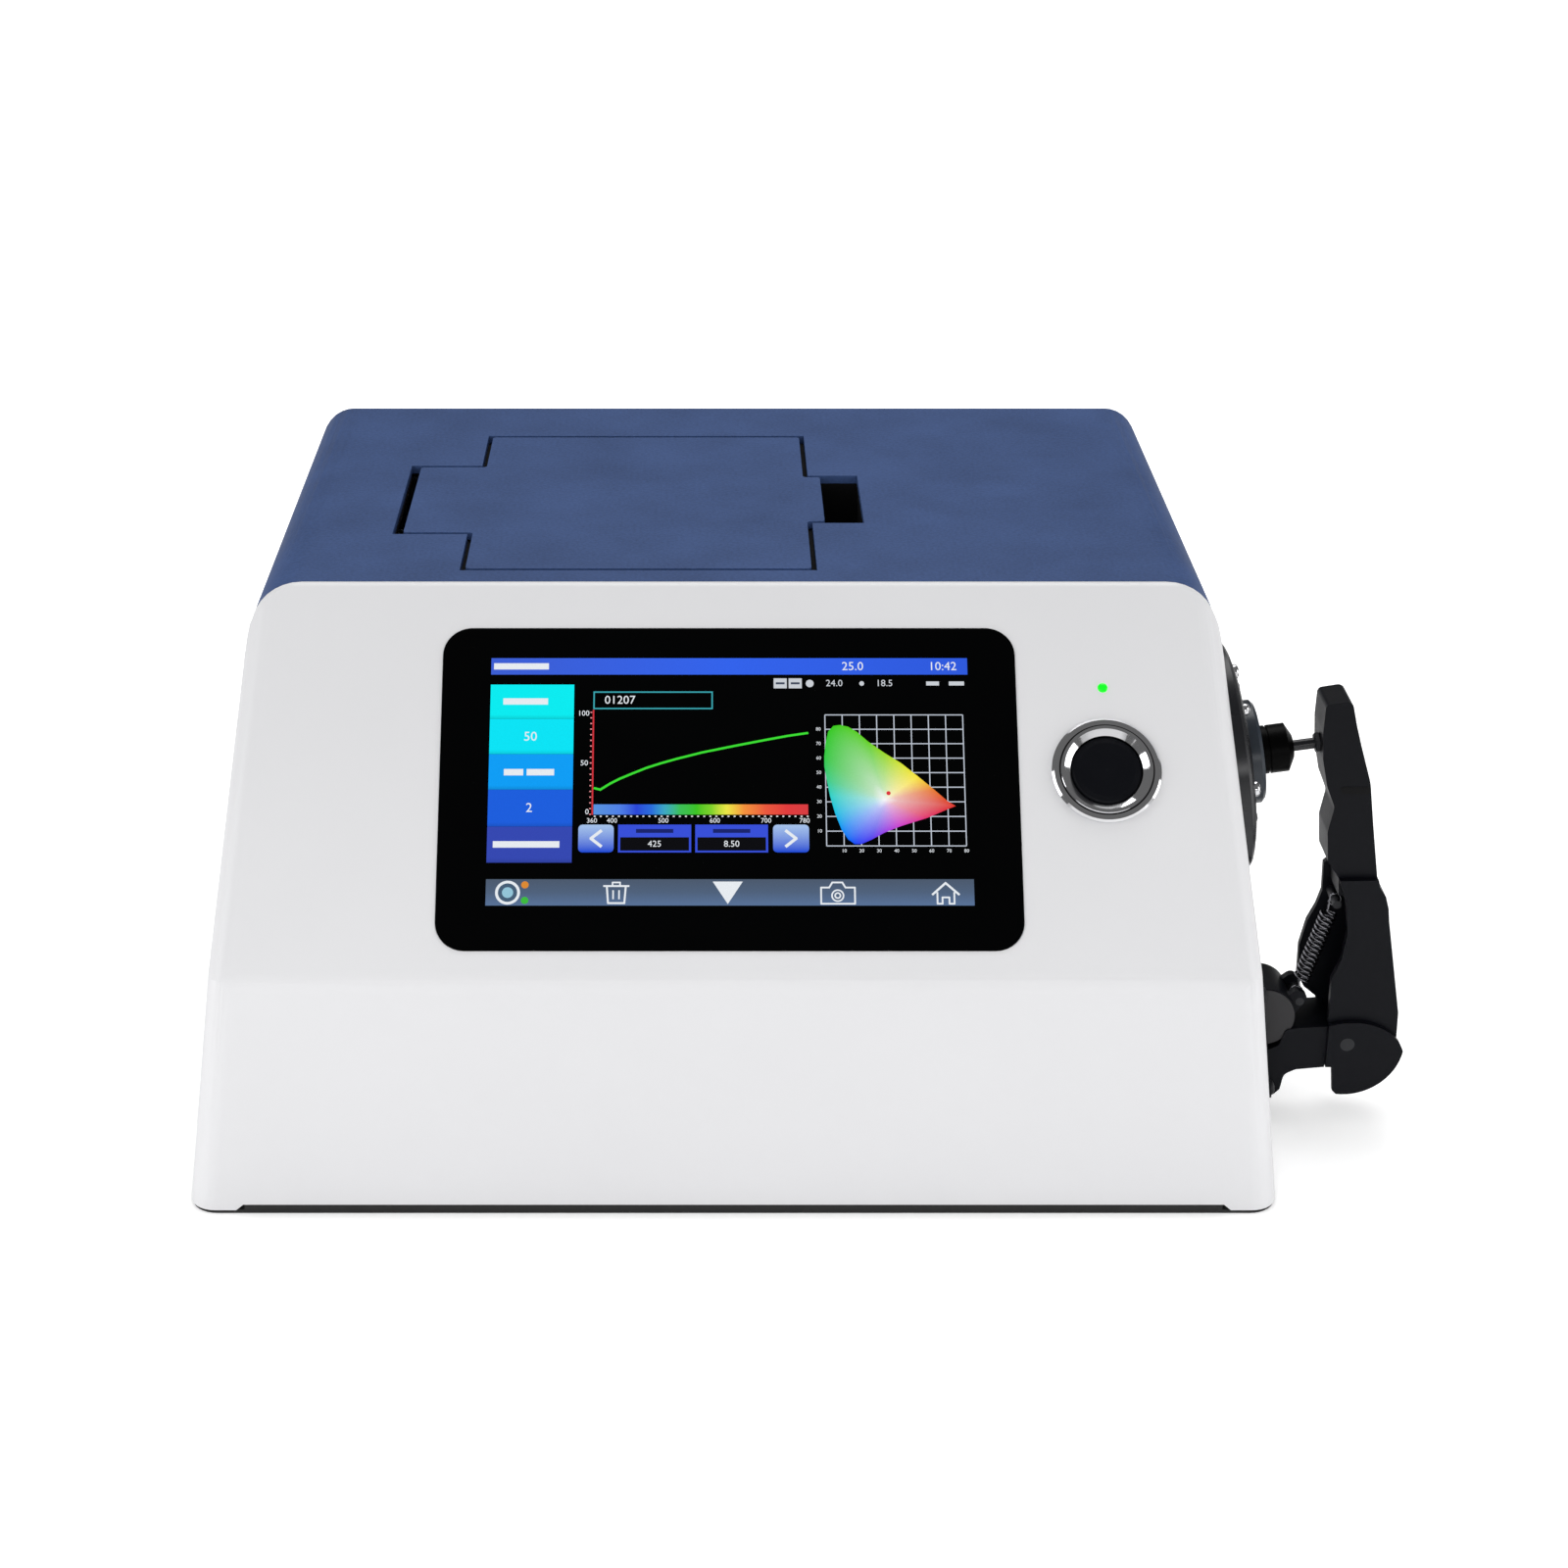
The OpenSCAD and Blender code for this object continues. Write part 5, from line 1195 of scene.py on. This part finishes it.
class COLORIMETER_OT_clamp_details(Operator):
    """Adds the rod's nut, the moulding mark and the grey boss cap of the clamp"""

    bl_idname = "colorimeter.clamp_details"
    bl_label = "Clamp Details"

    # radius of the nut's corners and their height above the wall, in mm
    NUT = ((2.0, 29.9), (3.3, 29.9), (3.7, 30.3), (3.7, 31.5), (2.0, 31.5))
    ARM_FRONT, BOSS_FRONT = 8 * MM, 10 * MM  # in front of the pivot

    def execute(self, context):
        self.nut()
        self.mark()
        self.boss_cap()
        return {"FINISHED"}

    def nut(self):
        """A thin nut where the rod enters the arm."""
        bm = bmesh.new()
        lathe(bm, self.NUT, port_frame(), 6)
        add_solid(bm, "rod_nut", FINISH["dark_metal"], "clamp")

    def mark(self):
        """A shallow moulded mark on the front of the arm."""
        bm = bmesh.new()
        outline = rounded_outline(-9.6, 97, 0.4, 94.4, 1)
        prism(bm, outline, -0.1, 0.12, clamp_frame(self.ARM_FRONT))
        add_solid(bm, "arm_mark", FINISH["matt_black"], "clamp")

    def boss_cap(self):
        """The grey cover of the bracket's round boss, cut along the wall."""
        x, y, radius, steps = -29.5, 9.5, 10.6, 48
        start, sweep = math.radians(-100), math.radians(220)
        angles = [start + sweep * k / steps for k in range(steps + 1)]
        bm = bmesh.new()
        outline = [(x + radius * math.cos(a), y + radius * math.sin(a)) for a in angles]
        prism(bm, outline, -0.2, 0.5, clamp_frame(self.BOSS_FRONT))
        finish = grained(
            "boss_grey", (0.035, 0.034, 0.036), 0.1, 0.0004, 0.00002, (0.4, 0.5),
            blotch=0.02, gloss=0.3)
        add_solid(bm, "boss_cap", finish, "case")


class COLORIMETER_OT_spring(Operator):
    """Winds the clamp spring with its hooks"""

    bl_idname = "colorimeter.spring"
    bl_label = "Clamp Spring"

    HOOK_RADIUS, HOOK_REACH = 2.15 * MM, 4.6 * MM  # the reach is from a pin to the first curl
    HOOK_STEPS, CURL_STEPS, WIRE_SIDES = 14, 20, 8
    FADE_FROM, FADE_STEPS = 0.25, 14  # the end curls narrow to this share, in this many steps
    BEND_FROM, BEND_TO = -0.1, 0.85  # where the stretch starts and ends, in shares of the span

    def execute(self, context):
        low, high = middle("spring_pin_low"), middle("spring_pin_high")
        low.y = high.y = joint_place("clamp_pivot").y
        span = high - low
        axis, side = span.normalized(), Vector((0, 1, 0))
        across = axis.cross(side).normalized()
        points = self.hook(low, across, -axis)[::-1]
        steps = look().coil_turns * self.CURL_STEPS
        reach = span.length - 2 * self.HOOK_REACH
        for k in range(steps + 1):
            a = 2 * math.pi * k / self.CURL_STEPS
            width = min(1, self.FADE_FROM + min(k, steps - k) / self.FADE_STEPS)
            curl = (across * math.cos(a) + side * math.sin(a)) * look().coil_radius * width
            points.append(low + axis * (self.HOOK_REACH + reach * k / steps) + curl)
        points += self.hook(high, -across, axis)
        finish = FINISH["spring_steel"]
        mesh = wire("spring_wire", points, look().wire_radius, self.WIRE_SIDES, finish)
        piece = linked("spring_wire", mesh)
        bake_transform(piece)
        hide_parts("clamp_spring")
        return {"FINISHED"}

    def hook(self, pin, across, outwards):
        """The open hook round a pin, from its free end to the coil."""
        angles = [math.radians(-60 + 300 * k / self.HOOK_STEPS) for k in range(self.HOOK_STEPS + 1)]
        return [
            pin + (across * math.sin(a) + outwards * math.cos(a)) * self.HOOK_RADIUS
            for a in angles
        ]


class COLORIMETER_OT_rear_details(Operator):
    """Adds the dust mesh in the rear panel's window"""

    bl_idname = "colorimeter.rear_details"
    bl_label = "Rear Details"

    WIRE, BEHIND_PANEL = 0.35, 0.6  # in mm

    def execute(self, context):
        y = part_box("rear_panel")[0][1] / MM - self.BEHIND_PANEL
        for name, count, (x, z), (step_x, step_z), (width, height) in (
            ("dust_mesh_upright", 34, (-115.5, 90), (75 / 33, 0), (self.WIRE, 64)),
            ("dust_mesh_level", 28, (-78, 58.8), (0, 62.4 / 27), (76, self.WIRE)),
        ):
            finish = FINISH["dark_metal"]
            mesh = bar_row(
                name, count, (x, y, z), (step_x, 0, step_z), (width, self.WIRE, height), finish)
            add_object(name, mesh, finish, "case")
        return {"FINISHED"}


# ---- panel in the sidebar ----


OPERATORS = (
    COLORIMETER_OT_stage,
    COLORIMETER_OT_finishes,
    COLORIMETER_OT_shells,
    COLORIMETER_OT_picture,
    COLORIMETER_OT_button_seam,
    COLORIMETER_OT_painted_shadow_strip,
    COLORIMETER_OT_port_details,
    COLORIMETER_OT_clamp_details,
    COLORIMETER_OT_spring,
    COLORIMETER_OT_rear_details,
)


class COLORIMETER_PT_panel(Panel):
    """Lists the settings and the steps"""

    bl_label = "Colorimeter"
    bl_idname = "COLORIMETER_PT_panel"
    bl_space_type = "VIEW_3D"
    bl_region_type = "UI"
    bl_category = "Colorimeter"

    def draw(self, context):
        for name in ColorimeterSettings.__annotations__:
            self.layout.prop(look(), name)
        for operator in OPERATORS:
            self.layout.operator(operator.bl_idname)


CLASSES = (ColorimeterSettings, *OPERATORS, COLORIMETER_PT_panel)


def register():
    """Registers the classes and the settings."""
    for cls in CLASSES:
        bpy.utils.register_class(cls)
    bpy.types.Scene.colorimeter = PointerProperty(type=ColorimeterSettings)


def unregister():
    """Takes them away again."""
    del bpy.types.Scene.colorimeter
    for cls in reversed(CLASSES):
        bpy.utils.unregister_class(cls)


def main():
    """Runs every step in order."""
    register()
    for operator in OPERATORS:
        area, step = operator.bl_idname.split(".")
        getattr(getattr(bpy.ops, area), step)()


if __name__ == "__main__":
    main()
